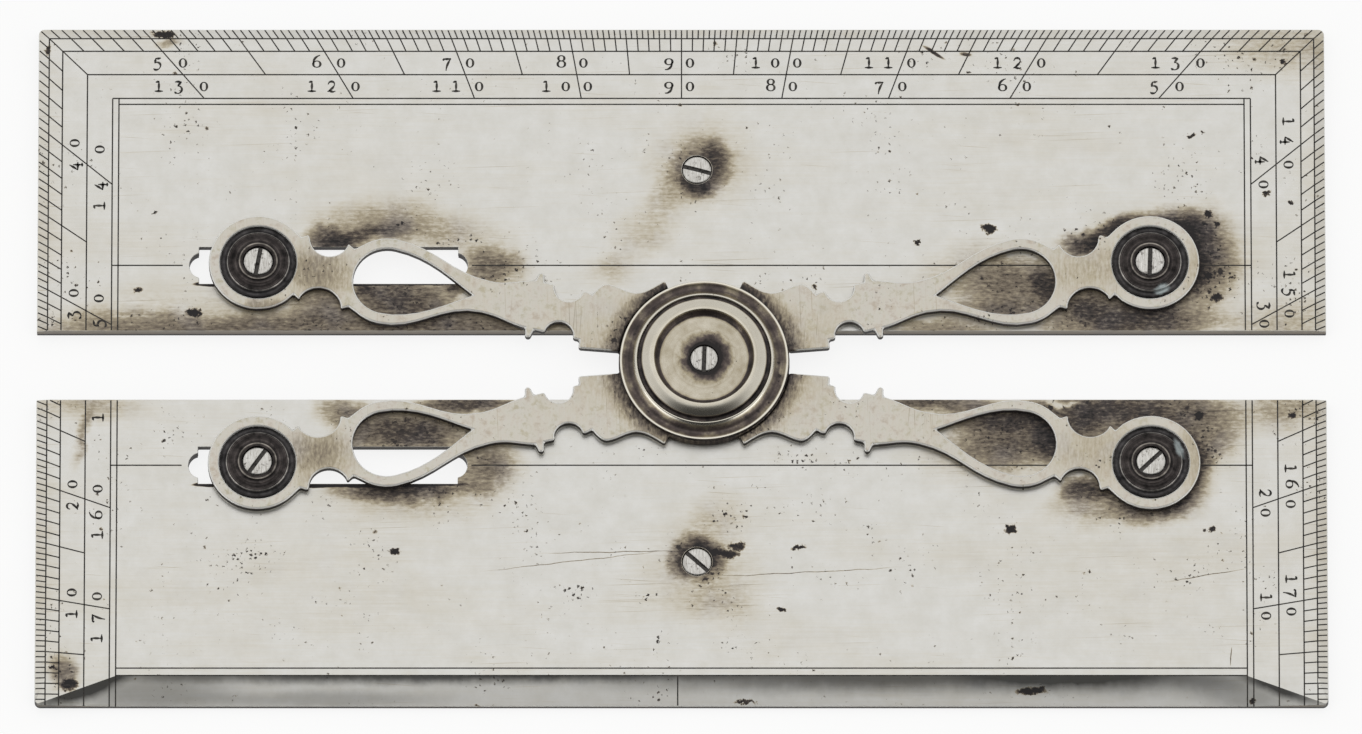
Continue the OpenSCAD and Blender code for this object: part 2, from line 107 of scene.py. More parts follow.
def built(name, corners, faces, material, smooth=0, **marks):
    """A mesh object from corners in millimetres, with doubled corners joined and every face turned
    outwards. Edges that turn less than smooth degrees are shaded round, and marks are values per corner."""
    mesh = bpy.data.meshes.new(name)
    mesh.from_pydata((corners * MM).tolist(), [], faces.tolist())
    for mark, values in marks.items():
        mesh.attributes.new(mark, "FLOAT", "POINT").data.foreach_set("value", np.ravel(values))
    shell = bmesh.new()
    shell.from_mesh(mesh)
    bmesh.ops.remove_doubles(shell, verts=shell.verts, dist=ONE_CORNER)
    bmesh.ops.recalc_face_normals(shell, faces=shell.faces)
    shell.to_mesh(mesh)
    shell.free()
    if smooth:
        mesh.shade_smooth()
        mesh.set_sharp_from_angle(angle=math.radians(smooth))
    mesh.materials.append(material)
    made = bpy.data.objects.new(name, mesh)
    scene.collection.objects.link(made)
    return made


# Matt white board: flat and even, with its glow only for what looks at it
white_board, tree = empty_material("matt_white_board")
rays = add(tree, "LightPath", out="Is Camera Ray")
for kind in ("Is Glossy Ray", "Is Transmission Ray"):
    rays = add(tree, "Math", [rays, add(tree, "LightPath", out=kind)], operation="MAXIMUM")
share = add(tree, "Math", [rays, TABLE_GLOW], operation="MULTIPLY")
sheet = add(tree, "BsdfDiffuse", {"Color": linear(TABLE_WHITE)})
glow = add(tree, "Emission", {"Strength": GLOW_STRENGTH})
add(tree, "OutputMaterial", {"Surface": add(tree, "MixShader", [share, sheet, glow])})
corner = np.array([[-1, -1], [1, -1], [1, 1], [-1, 1]]) * TABLE_REACH
table = built("table", np.c_[corner, np.full(4, -TABLE_DROP)] / MM, np.arange(4)[None], white_board)

# Light. A white tent stands round the rule, open to a dark room only low at its front. A broad soft
# lamp hangs above it, and a softbox stands on either side of the opening.
TENT_STOPS = ((0.0, 0.82), (0.48, 0.82), (0.66, 0.62), (0.78, 0.2), (0.9, 0.04))
OPENING_RISE = math.radians(32)
# Place, width, height and brightness of each lamp
LAMPS = {
    "top_lamp": ((-0.15, 0.35, 1.5), 1.6, 1.6, 0.25),
    "left_softbox": ((-1.1, -0.8, 0.35), 1.1, 0.5, 1.1),
    "right_softbox": ((1.1, -0.8, 0.35), 1.1, 0.5, 1.1),
}

world = bpy.data.worlds.new("white_tent")
scene.world = world
world.use_nodes = True
tree = world.node_tree
tree.nodes.clear()
opening = (0, -math.cos(OPENING_RISE), math.sin(OPENING_RISE))
facing = add(tree, "VectorMath", [add(tree, "TexCoord", out="Generated"), opening], out="Value",
             operation="DOT_PRODUCT")
tent = add(tree, "ValToRGB", [facing], stops=TENT_STOPS)
add(tree, "OutputWorld", {"Surface": add(tree, "Background", {"Color": tent})})
for name, (place, width, height, brightness) in LAMPS.items():
    lamp = bpy.data.objects.new(name, bpy.data.lights.new(name, "AREA"))
    scene.collection.objects.link(lamp)
    lamp.data.shape = "RECTANGLE"
    lamp.data.size = width
    lamp.data.size_y = height
    lamp.data.energy = brightness * math.pi * width * height
    lamp.location = place
    lamp.rotation_euler = Vector(place).to_track_quat("Z", "Y").to_euler()

# Plates. Two flat strips of nickel silver, a white brass, cut from rolled sheet, drawn along their
# length with fine abrasive and chamfered on the graduated edges; the lower one has a broad bevel.
# Age has left brown stains round the pivots and screws, black pits, and dark oxide on the cut edges; painted
# shade darkens the cut edges too, painted shadows lie along the near edges of the slots, grey bands of
# painted shade lie on the bevel where it mirrors the dark room, and the rounded edges are worn bright with a
# painted highlight.
UPPER_LOW, UPPER_HIGH = (np.array(point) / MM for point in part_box("upper_plate"))
LOWER_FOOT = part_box("lower_plate")[0].y / MM
HALF_LEN = UPPER_HIGH[0]
PLATE_W = UPPER_HIGH[1] - UPPER_LOW[1]
PLATE_T = UPPER_HIGH[2]
CHAMFER_W, CHAMFER_D = 1.25, 0.25
BEVEL_W, BEVEL_D = 3.5, 0.9
BEVEL_CREST = LOWER_FOOT + BEVEL_W
RUN_OUT = 9.5
# Faces of the bevel have more than the first of these as the z of their normal, and less than the second as y
BEVEL_UP, BEVEL_FRONT = 0.9, -0.1
# Ends of the slots, the distance of their middle line from the middle of the rule, half the height of their
# round noses, and the share of a nose's length and height that is kept
SLOT_LEFT, SLOT_RIGHT = -57.06, -26.42
SLOT_Y = 12.55
NOSE_HALF = 2.05
NOSE_KEPT = (0.7, 0.77)
# Side and radius of the worn outer corners of the upper plate
UPPER_CORNERS = ((-1, 0.25), (1, 0.7))
PLATE_ROUND = 0.08
# The edges of the rebates reach up to between these heights
FOOT_Z, REBATE_Z = 0.05, 0.65
# Degrees: faces that turn less than the first become one, edges that turn more than the second are rounded,
# and those that turn less than the third are shaded round
ONE_FACE, ROUND_EDGE, SMOOTH_EDGE = 0.05, 28, 9
# How near its place a corner of the CAD shape lies, and in metres how near its doubles lie
NEAR = 0.02
CAD_CORNER = 1e-6
PLATE_TONES = ((0.3, "#D9D8D4"), (0.7, "#CECCC5"))
PLATE_MOTTLE = 3.0
PLATE_GRAIN = 9
# Levels, here and below, are the low and the high of a value, then what they become if not 0 and 1. These are
# for dark oxide and painted shade on a wall, from its foot to its head
PLATE_WALLS = (0.0, 1.6, 1.0, 0.88)
# Walls in front of these places on each plate mirror the lit table, so they get less painted shade: from one
# height to another they lose up to this share of their oxide and painted shade
FRONT_WALLS_BELOW = {"upper_plate": 4.4, "lower_plate": -42.2}
FRONT_WALL_EDGE = 0.1
FRONT_WALL_LEVELS = (0.35, 0.75, 0, -0.5)
# Colour of the rounded edges, worn bright and with a painted highlight
WORN_AND_HIGHLIT_EDGE = "#F1F0EB"
OXIDE_TONES = ((0.0, "#D4CCB8"), (0.22, "#B9AE96"), (0.45, "#8C8170"), (0.7, "#544A42"), (1.0, "#1E1919"))
COOL_TONES = ((0.0, "#D0CABC"), (0.22, "#B3AA9B"), (0.45, "#867D73"), (0.7, "#4E4745"), (1.0, "#1B1718"))
# Size and levels of the clouds of cooler oxide
COOL_SIZE = 4
COOL_LEVELS = (0.48, 0.68)
# Spacing of the cells that may hold a pit, how rare it is and how wide, and how much specks count there
PITS = ((4.0, 1.1, 0.2, 0.0), (1.3, 0.97, 0.27, 0.7), (0.55, 1.08, 0.5, 1.5))
# Width of the clusters that pits stand in, levels of the noise for them, and how much dirt and painted
# shade count for a pit
CLUSTER = 7.0
CLUSTER_LEVELS = (0.42, 0.68, 0, 0.5)
DIRT_AND_SHADE_COUNT = 0.6
PIT_LEVELS = (-0.02, 0.03, 0, 0.9)
# Grain, roughness and reach of the noise that makes the edges of each kind of discolouring creep, and how
# soft the edges are; then the noise that makes the edges of pits ragged
CREEP = {"stains": (5.0, 0.6, 4.0, 1.0), "spots": (0.7, 0.7, 1.8, 0.6), "scratches_and_shadow": (3.0, 0.5, 0.5, 0.6),
         "specks": (1.5, 0.6, 2.0, 0.9), "bands": (2.0, 0.6, 0.8, 0.9)}
RAGGED = (0.4, 0.75, 1.1)
# Half lengths from its middle at which a patch starts, and at which one with a hard edge is full
PATCH_RIM, PATCH_FULL = 1.15, 1.1
# Length and width, detail, levels and depth of the strokes that break up dirt, and the least that they leave
BROKEN = ((0.8, 0.35), 7, 0.28, 0.72, 0.9)
BROKEN_LEAST = 0.55
# Width of the strokes, how much they count for dirt, and the strength and depth of their bumps
GRAIN_W = 0.25
GRAIN_DIRT = 0.2
GRAIN_BUMP = (0.3, 0.008)
# Turn of the bands and hairlines, their length and width, their detail, and their levels and depth
HAIRLINES = ((0, (30, 9), 4, 0.45, 0.8, 0.12), (2, (14, 0.1), 0, 0.78, 0.84, 0.2),
             (-4, (9, 0.1), 0, 0.8, 0.86, 0.2))
# Levels of how far up a face looks, for edges worn bright with a painted highlight, cut walls with oxide and
# painted shade, and slopes with painted shade
WORN_AND_HIGHLIT_LEVELS = (0.955, 0.9)
WALL_LEVELS = (0.45, 0.2)
SLOPE_LEVELS = (0.995, 0.975)
# What full wear leaves of dirt and painted shade and what wear and the painted highlight add to metal, and
# how soft the edge of a sheltered and shaded place is
WORN_DIRT = 0.25
WORN_AND_HIGHLIT_METAL = -0.7
SHELTER_EDGE = 0.4
# Levels of dirt and painted shade for their share of the colour, for metal and for roughness
DIRT_AND_SHADE_SHARE = (0, 0.3)
DIRT_AND_SHADE_METAL = (0.2, 0.9, 1, 0.2)
DIRT_AND_SHADE_ROUGH = (0, 1, 0.34, 0.62)
# Middle x and y, half length, half height, turn in degrees, and depth of colour
UPPER_STAINS = {
    "right of the plate screw": (4.2, 25.8, 2.4, 2.8, 0, 0.36),
    "under the plate screw": (1.9, 22.4, 2.6, 2.0, 0, 0.5),
    "round the plate screw": (1.9, 24.8, 4.0, 3.9, 0, 0.36),
    "fringe of the plate screw": (1.9, 25.0, 8.0, 7.4, 0, 0.24),
    "trail of the plate screw": (-3.4, 18.2, 9.6, 4.0, 52, 0.17),
    "left of the disc": (-8.6, 12.0, 4.0, 3.0, 0, 0.16),
    "above the left neck": (-41.6, 15.6, 4.2, 2.2, 0, 0.62),
    "on the left loop": (-37.0, 16.6, 6.0, 1.4, 8, 0.34),
    "above the left loop": (-35.4, 17.6, 11.0, 4.2, 0, 0.34),
    "end of the slot": (-22.4, 12.4, 5.0, 3.4, 0, 0.5),
    "right of the left loop": (-25.0, 16.0, 8.0, 4.6, 0, 0.16),
    "in the left loop": (-33.0, 8.6, 9.4, 3.2, 0, 0.58),
    "tip of the left loop": (-26.8, 9.8, 1.6, 1.0, 0, 0.5),
    "head of the left loop": (-37.4, 9.6, 2.0, 1.4, 0, 0.4),
    "below the left neck": (-42.9, 8.0, 4.6, 3.2, 0, 0.3),
    "inner edge, left": (-27.0, 4.8, 23.0, 3.2, 0, 0.52),
    "inner edge, far left": (-56.0, 4.6, 22.0, 2.8, 0, 0.36),
    "fringe of the inner edge, left": (-52.0, 6.4, 26.0, 6.0, 0, 0.16),
    "corner, left": (-71.0, 4.4, 9.0, 3.6, 0, 0.14),
    "above the right neck": (47.8, 15.4, 3.6, 2.0, 0, 0.85),
    "ring of the right pivot": (55.6, 12.9, 6.9, 6.9, 0, 1.7),
    "top left of the right pivot": (51.4, 17.2, 4.4, 1.6, 30, 0.5),
    "top right of the right pivot": (60.0, 17.6, 3.8, 2.8, -35, 0.55),
    "right of the right pivot": (62.4, 13.4, 4.4, 8.0, 0, 0.4),
    "fringe of the right pivot": (58.0, 13.0, 12.0, 9.0, 0, 0.2),
    "inner edge, right": (53.0, 5.4, 14.0, 3.2, 0, 0.7),
    "inner edge, middle right": (31.0, 4.8, 9.0, 2.0, 0, 0.4),
    "below the right neck": (48.0, 8.2, 4.4, 3.0, 0, 0.5),
    "fringe of the right loop": (37.0, 11.0, 11.5, 5.8, 0, 0.28),
    "in the right loop": (39.4, 10.0, 7.6, 4.2, 0, 0.28),
    "right side of the right loop": (43.4, 10.2, 2.6, 3.8, 0, 0.5),
    "foot of the right loop": (38.2, 7.2, 8.0, 1.5, 0, 0.3),
    "corner, right": (71.0, 5.0, 8.0, 4.0, 0, 0.24),
    "left end": (-77.0, 23.0, 4.4, 26.0, 0, 0.1),
    "right end": (77.5, 23.0, 6.0, 24.0, 0, 0.12),
    "top right corner": (72.0, 40.0, 12.0, 5.0, 0, 0.2),
    "top left corner": (-70.0, 43.0, 12.0, 3.0, 0, 0.1),
    "below the spot on the top edge": (-60.6, 40.8, 2.4, 0.8, 0, 0.3),
    "top edge": (0.0, 43.2, 74.0, 1.7, 0, 0.1),
}
UPPER_SPOTS = {
    "spot on the top edge": (-61.4, 41.7, 1.6, 0.5, -3, 1.2),
    "spot in the top left corner": (-75.1, 39.7, 0.35, 0.6, 0, 0.8),
    "spot left of the slot": (-62.3, 19.2, 0.3, 0.22, 0, 1.2),
    "spot at the end of the slot": (-64.3, 9.5, 0.55, 0.35, 0, 1.0),
    "spot by the slot": (-57.6, 6.6, 0.9, 0.5, -6, 1.4),
    "spot right of the middle": (36.4, 17.2, 0.95, 0.6, -8, 1.4),
    "spot near the loop": (27.9, 15.4, 0.42, 0.28, 0, 1.2),
    "spot right of the pivot": (62.4, 19.0, 0.55, 0.45, 0, 1.2),
    "spot by the right end": (69.2, 21.6, 0.4, 0.35, 0, 1.2),
    "spot on the right scale": (72.2, 20.4, 0.3, 0.24, 0, 1.2),
    "spot in the top right corner": (71.3, 38.2, 0.4, 0.35, 0, 1.2),
    "star above the right pivot": (60.4, 28.9, 0.5, 0.3, 20, 1.2),
    "dot by the star": (61.7, 29.3, 0.22, 0.2, 0, 1.2),
    "two spots by the right pivot": (63.4, 17.8, 0.4, 0.26, 0, 1.0),
    "second of two spots": (61.9, 17.8, 0.34, 0.3, 0, 0.9),
    "spot beside the right ring": (62.3, 11.3, 0.5, 0.55, 0, 0.8),
    "spot below the right ring": (63.3, 8.5, 0.7, 0.5, 0, 0.9),
    "dot under the scrapes": (34.1, 36.9, 0.4, 0.22, 0, 1.1),
}
UPPER_SCRATCHES_AND_SHADOW = {
    "scrape near the top": (29.9, 39.4, 1.6, 0.24, -35, 0.8),
    "second scrape near the top": (33.7, 39.2, 0.8, 0.26, -8, 0.65),
    # Painted shadow along the near edge of the slot
    "near edge of the slot": (-41.4, 10.2, 15.6, 0.24, 0, 1.3),
    "near edge of the slot, left end": (-55.9, 10.15, 1.8, 0.3, 0, 1.6),
}
LOWER_STAINS = {
    "round the plate screw": (1.9, -24.1, 3.8, 3.6, 0, 1.0),
    "fringe of the plate screw": (2.6, -25.0, 8.4, 8.6, 0, 0.2),
    "below the plate screw": (5.0, -30.0, 8.0, 4.6, 0, 0.08),
    "above the plate screw": (4.0, -19.0, 4.0, 4.0, 0, 0.1),
    "in the left loop": (-32.6, -8.2, 10.0, 4.2, 0, 0.72),
    "left of the left loop": (-40.0, -5.6, 4.0, 2.4, 0, 0.36),
    "inner edge, left": (-25.0, -4.7, 7.5, 1.6, 0, 0.7),
    "below the slot": (-33.0, -15.5, 10.5, 2.0, 0, 0.62),
    "fringe below the slot": (-31.0, -16.4, 13.0, 4.0, 0, 0.2),
    "end of the slot": (-22.8, -12.4, 5.2, 4.4, 0, 0.5),
    "in the right loop": (39.0, -9.6, 8.2, 4.8, 0, 0.3),
    "right side of the right loop": (43.4, -9.3, 2.8, 4.2, 0, 0.5),
    "head of the right loop": (38.0, -6.8, 8.0, 2.0, 0, 0.42),
    "inner edge, right": (51.5, -5.4, 13.5, 3.4, 0, 0.74),
    "scraped inner edge": (45.0, -4.9, 2.4, 0.6, -8, -0.4),
    "inner edge, middle right": (29.0, -4.8, 9.5, 2.0, 0, 0.6),
    "ring of the right pivot": (55.9, -13.2, 7.3, 7.3, 0, 1.8),
    "right of the right pivot": (62.6, -7.8, 5.2, 6.0, 0, 0.42),
    "below the right neck": (47.4, -15.6, 3.4, 2.0, 0, 0.6),
    "fringe of the right neck": (49.0, -17.6, 7.4, 3.4, 0, 0.28),
    "corner, right": (71.0, -5.4, 7.0, 4.0, 0, 0.3),
    "corner, left": (-70.0, -4.8, 9.0, 3.0, 0, 0.2),
    "above the right neck": (47.6, -8.4, 4.4, 3.2, 0, 0.5),
    "fringe of the right loop": (37.0, -10.6, 11.5, 6.0, 0, 0.27),
    "smear on the left scale": (-70.7, -9.1, 4.8, 1.0, 74, 0.3),
    "left field": (-45.0, -27.0, 30.0, 13.0, 0, 0.05),
    "right field": (54.0, -28.0, 22.0, 12.0, 0, 0.05),
    "left corner": (-72.8, -38.4, 2.4, 3.2, 0, 0.45),
    "left end": (-77.0, -23.0, 4.4, 26.0, 0, 0.1),
    "right end": (77.2, -23.0, 4.6, 24.0, 0, 0.12),
}
LOWER_SPOTS = {
    "spot in the left corner": (-72.1, -40.0, 1.2, 0.8, 20, 0.8),
    "second spot in the left corner": (-74.2, -37.8, 0.4, 0.28, 0, 1.1),
    "spot by the right ring": (61.1, -6.4, 0.6, 0.5, 0, 0.9),
    "spot on the right scale": (72.1, -6.2, 0.45, 0.4, 0, 0.8),
    "spot below the right ring": (62.6, -20.6, 0.42, 0.36, 0, 0.9),
    "dot below the right ring": (61.7, -20.7, 0.28, 0.24, 0, 0.9),
    "nick in the ruling edge": (7.5, -41.9, 1.4, 0.25, 0, 1.0),
    "nick near the right corner": (67.3, -41.8, 0.4, 0.3, 0, 1.1),
    "spot on the bevel": (41.2, -40.6, 1.9, 0.5, 0, 1.2),
    "spot on the left": (-33.8, -23.3, 0.7, 0.5, 0, 1.4),
    "spot on the right": (38.8, -20.6, 0.8, 0.6, 0, 1.4),
    "blot by the plate screw": (6.6, -22.7, 1.1, 0.6, 0, 0.85),
    "second lobe of the blot": (5.6, -23.7, 1.3, 0.55, 0, 0.85),
    "bridge to the blot": (4.2, -23.4, 1.2, 0.6, 0, 0.7),
    "spot above the bevel": (13.8, -22.9, 1.0, 0.32, 8, 1.2),
    "spot below the screw": (11.8, -30.6, 0.6, 0.3, 0, 1.2),
}
LOWER_SCRATCHES_AND_SHADOW = {
    "scratch left of the screw": (-8.5, -23.4, 8.6, 0.06, 1, 0.5),
    "second scratch left of the screw": (-13.0, -24.6, 11.0, 0.06, 7, 0.45),
    "scratch right of the screw": (15.0, -25.9, 11.5, 0.06, 3, 0.45),
    "scratch by the right end": (62.0, -26.3, 5.0, 0.06, 10, 0.45),
    "short scratch by the right end": (64.7, -36.5, 1.2, 0.07, 86, 0.6),
    # Painted shadow along the near edge of the slot
    "near edge of the slot": (-41.4, -14.97, 15.6, 0.38, 0, 2.0),
    "near edge of the slot, left end": (-55.9, -14.95, 1.8, 0.32, 0, 2.0),
}
# Where pits crowd together
UPPER_SPECKS = {
    "above the left loop": (-32.7, 17.9, 1.4, 0.7, 0, 0.45),
    "right of the left loop": (-25.0, 15.9, 2.0, 0.9, 0, 0.45),
    "above the disc": (9.4, 10.7, 3.0, 1.2, 0, 0.35),
    "right of the right pivot": (62.8, 13.2, 2.2, 7.0, 0, 0.3),
}
LOWER_SPECKS = {
    "left field": (-50.4, -24.2, 6.0, 3.0, 0, 0.3),
    "below the disc": (-3.4, -11.0, 3.4, 1.2, 0, 0.4),
    "below the right bar": (14.0, -11.9, 5.0, 2.0, 0, 0.35),
    "above the plate screw": (5.2, -19.6, 2.8, 1.9, 0, 0.4),
    "left of the plate screw": (-12.2, -28.2, 3.4, 1.7, 0, 0.45),
    "below the plate screw, left": (-3.6, -29.0, 1.7, 0.9, 0, 0.45),
    "above the bevel, left": (-2.6, -34.6, 1.3, 1.9, 0, 0.45),
    "above the bevel, right": (5.4, -35.1, 2.4, 1.2, 0, 0.45),
}
# Painted shade on the bevel, where it mirrors the dark room in front: the share of its light that a band of
# full depth takes away, and the least that is left
BAND_DARK, BAND_LEAST = 1.55, 0.12
LOWER_SHADE_BANDS = {
    "left of the bevel": (-34.0, -38.7, 42.0, 1.4, 0, 0.55),
    "left end of the bevel": (-62.0, -40.8, 12.0, 3.0, 0, 0.26),
    "foot of the bevel, left": (-42.0, -41.6, 18.0, 1.2, 0, 0.2),
    "middle of the bevel": (24.0, -38.7, 46.0, 2.7, 0, 0.5),
    "right of the bevel": (52.0, -38.9, 20.0, 2.9, 0, 0.3),
    "right run-out": (71.0, -40.5, 6.6, 1.2, -20, 0.5),
    "right end of the bevel": (66.0, -41.2, 8.0, 2.4, -8, 0.25),
    "left run-out": (-71.0, -40.5, 7.4, 1.8, 20, 0.6),
}


def height_on(plate, x, y):
    """Height of a plate's face: its thickness, less the deepest of its slopes. The bevel's slope lessens
    evenly along its run-outs to that of the chamfers."""
    drop = CHAMFER_D * (1 - (HALF_LEN - np.abs(x)) / CHAMFER_W)
    if plate == "upper_plate":
        drop = np.maximum(drop, CHAMFER_D * (1 - (UPPER_HIGH[1] - y) / CHAMFER_W))
    else:
        down = (BEVEL_CREST - y) / BEVEL_W
        out = np.maximum(0, 1 - (HALF_LEN - np.abs(x)) / RUN_OUT)
        drop = np.maximum(drop, np.maximum(CHAMFER_D * down, BEVEL_D * down - (BEVEL_D - CHAMFER_D) * out))
    return PLATE_T - np.maximum(0, drop)


def run_out(shell):
    """Runs the bevel of the lower plate out at its ends: cuts it at the start of each run-out, along the
    crease from there to the corner and along the chamfer's mitre, and lifts what is beyond to the face."""
    for side in (-1, 1):
        for reach, across in ((RUN_OUT, (1, 0, 0)), (RUN_OUT, (BEVEL_W, side * RUN_OUT, 0)),
                              (CHAMFER_W, (BEVEL_W, side * CHAMFER_W, 0))):
            start = Vector((side * (HALF_LEN - reach), BEVEL_CREST, 0)) * MM
            sloped = [face for face in shell.faces
                      if face.normal.z > BEVEL_UP and face.normal.y < BEVEL_FRONT]
            edges = list(dict.fromkeys(edge for face in sloped for edge in face.edges))
            verts = list(dict.fromkeys(vert for face in sloped for vert in face.verts))
            bmesh.ops.bisect_plane(shell, geom=sloped + edges + verts, dist=ONE_CORNER, plane_co=start,
                                   plane_no=across)
    for vert in shell.verts:
        x, y, z = vert.co / MM
        if abs(x) > HALF_LEN - RUN_OUT and y < BEVEL_CREST and z > PLATE_T - BEVEL_D - NEAR:
            vert.co.z = height_on("lower_plate", x, y) * MM


def slim_noses(shell):
    """Draws in the round nose at each end of a slot: what lies past the end is brought nearer to the middle
    of the end, by one share along the slot and another across it."""
    for vert in shell.verts:
        x, y, z = vert.co / MM
        middle = math.copysign(SLOT_Y, y)
        for side, end in ((-1, SLOT_LEFT), (1, SLOT_RIGHT)):
            if -NEAR < side * (x - end) < NOSE_HALF and abs(y - middle) < NOSE_HALF:
                vert.co.x = (end + (x - end) * NOSE_KEPT[0]) * MM
                vert.co.y = (middle + (y - middle) * NOSE_KEPT[1]) * MM


def round_corners(shell):
    """Rounds the upright edges at the outer corners of the upper plate."""
    for side, radius in UPPER_CORNERS:
        corner = Vector((side * HALF_LEN, UPPER_HIGH[1])) * MM
        upright = [edge for edge in shell.edges
                   if all((vert.co.xy - corner).length < NEAR * MM for vert in edge.verts)]
        bmesh.ops.bevel(shell, geom=upright, offset=radius * MM, offset_type="OFFSET", segments=10,
                        profile=0.5, affect="EDGES")


def merged_copy(node, name, material, edge_round, *changes):
    """A copy of a CAD node with its triangles joined, its flat faces made whole, its shape changed by given
    functions and its edges rounded, other than those of the rebates under the plates."""
    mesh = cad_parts[node].data.copy()
    mesh.name = name
    shell = bmesh.new()
    shell.from_mesh(mesh)
    bmesh.ops.remove_doubles(shell, verts=shell.verts, dist=CAD_CORNER)
    bmesh.ops.dissolve_limit(shell, verts=shell.verts, edges=shell.edges, angle_limit=math.radians(ONE_FACE))
    for change in changes:
        change(shell)
    rounding = shell.edges.layers.float.new("bevel_weight_edge")
    for edge in shell.edges:
        hidden = FOOT_Z < max(vert.co.z for vert in edge.verts) / MM < REBATE_Z
        edge[rounding] = float(not hidden and edge.calc_face_angle(0) > math.radians(ROUND_EDGE))
    shell.to_mesh(mesh)
    shell.free()
    mesh.materials.clear()
    mesh.materials.append(material)
    mesh.shade_smooth()
    mesh.set_sharp_from_angle(angle=math.radians(SMOOTH_EDGE))
    made = bpy.data.objects.new(name, mesh)
    scene.collection.objects.link(made)
    bevel = made.modifiers.new("edges", "BEVEL")
    bevel.width = edge_round * MM
    bevel.segments = 3
    bevel.use_clamp_overlap = False
    bevel.limit_method = "WEIGHT"
    bevel.harden_normals = True
    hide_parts(node)
    return made


def in_mm(tree, plan=True):
    """Where a point lies on its object in millimetres, in plan or with its height."""
    place = add(tree, "TexCoord", out="Object")
    spot = add(tree, "VectorMath", {0: place, "Scale": 1 / MM}, operation="SCALE")
    return add(tree, "VectorMath", [spot, (1, 1, 0)], operation="MULTIPLY") if plan else spot


def moved(tree, position, grain, roughness, reach):
    """A position in millimetres that noise with grains of a given width has pushed about, by up to about
    a quarter of its reach each way."""
    push = add(tree, "TexNoise", {"Vector": position, "Scale": 1 / grain, "Detail": 6,
                                  "Roughness": roughness}, out="Color")
    push = add(tree, "VectorMath", [push, (0.5, 0.5, 0.5)], operation="SUBTRACT")
    return add(tree, "VectorMath", [push, (reach, reach, 0), position], operation="MULTIPLY_ADD")


def streaks(tree, position, turn, size, detail, low, high, most):
    """Noise drawn out along strokes of a given length and width, brought from 0 at its low level to most
    at its high level."""
    along = add(tree, "Mapping", {"Vector": position, "Rotation": (0, 0, math.radians(turn)),
                                  "Scale": (*size, 1)}, vector_type="TEXTURE")
    noise = add(tree, "TexNoise", {"Vector": along, "Scale": 1, "Detail": detail, "Roughness": 0.62})
    return add(tree, "MapRange", [noise, low, high, 0, most])


def patches(tree, position, places, creep, total):
    """Adds soft ellipses to a total: each is the distance from its middle in half lengths, brought from
    0 at its rim to 1 inside, times its depth. Noise first makes their edges creep."""
    *noise, soft = creep
    position = moved(tree, position, *noise)
    for x, y, long, high, turn, depth in places.values():
        near = add(tree, "Mapping", {"Vector": position, "Location": (x, y, 0), "Scale": (long, high, 1),
                                     "Rotation": (0, 0, math.radians(turn))}, vector_type="TEXTURE")
        apart = add(tree, "VectorMath", [near], out="Value", operation="LENGTH")
        cover = add(tree, "MapRange", [apart, PATCH_RIM, PATCH_FULL - soft], interpolation_type="SMOOTHSTEP")
        total = add(tree, "Math", [cover, depth, total], operation="MULTIPLY_ADD")
    return total


def pits(tree, position, spacing, rarity, spread, count, dirt_and_shade, specks):
    """Small black pits. A random cell has a pit at its middle if its own number, raised by dirt, by given
    specks and where a slow noise crowds pits together, passes rarity; the further it passes, the wider the
    pit."""
    cells = add(tree, "TexVoronoi", {"Vector": position, "Scale": 1 / spacing}, voronoi_dimensions="2D")
    chance = add(tree, "SeparateXYZ", [cells.node.outputs["Color"]], out="X")
    crowd = add(tree, "TexNoise", {"Vector": position, "Scale": 1 / CLUSTER, "Detail": 3})
    crowd = add(tree, "MapRange", [crowd, *CLUSTER_LEVELS])
    for more, share in ((crowd, 1.0), (dirt_and_shade, DIRT_AND_SHADE_COUNT), (specks, count)):
        chance = add(tree, "Math", [more, share, chance], operation="MULTIPLY_ADD")
    reach = add(tree, "Math", [chance, rarity], operation="SUBTRACT")
    reach = add(tree, "Math", [reach, spread], operation="MULTIPLY")
    inside = add(tree, "Math", [reach, cells], operation="SUBTRACT")
    return add(tree, "MapRange", [inside, *PIT_LEVELS])


def shade_metal(tree, colour, metal, rough, height, strength, depth):
    """Ends a metal's nodes: its shader, with the bumps of a height up to a depth in millimetres."""
    bump = add(tree, "Bump", {"Strength": strength, "Distance": depth * MM, "Height": height})
    shader = add(tree, "BsdfPrincipled", {"Base Color": colour, "Metallic": metal, "Roughness": rough,
                                          "Normal": bump})
    add(tree, "OutputMaterial", {"Surface": shader})


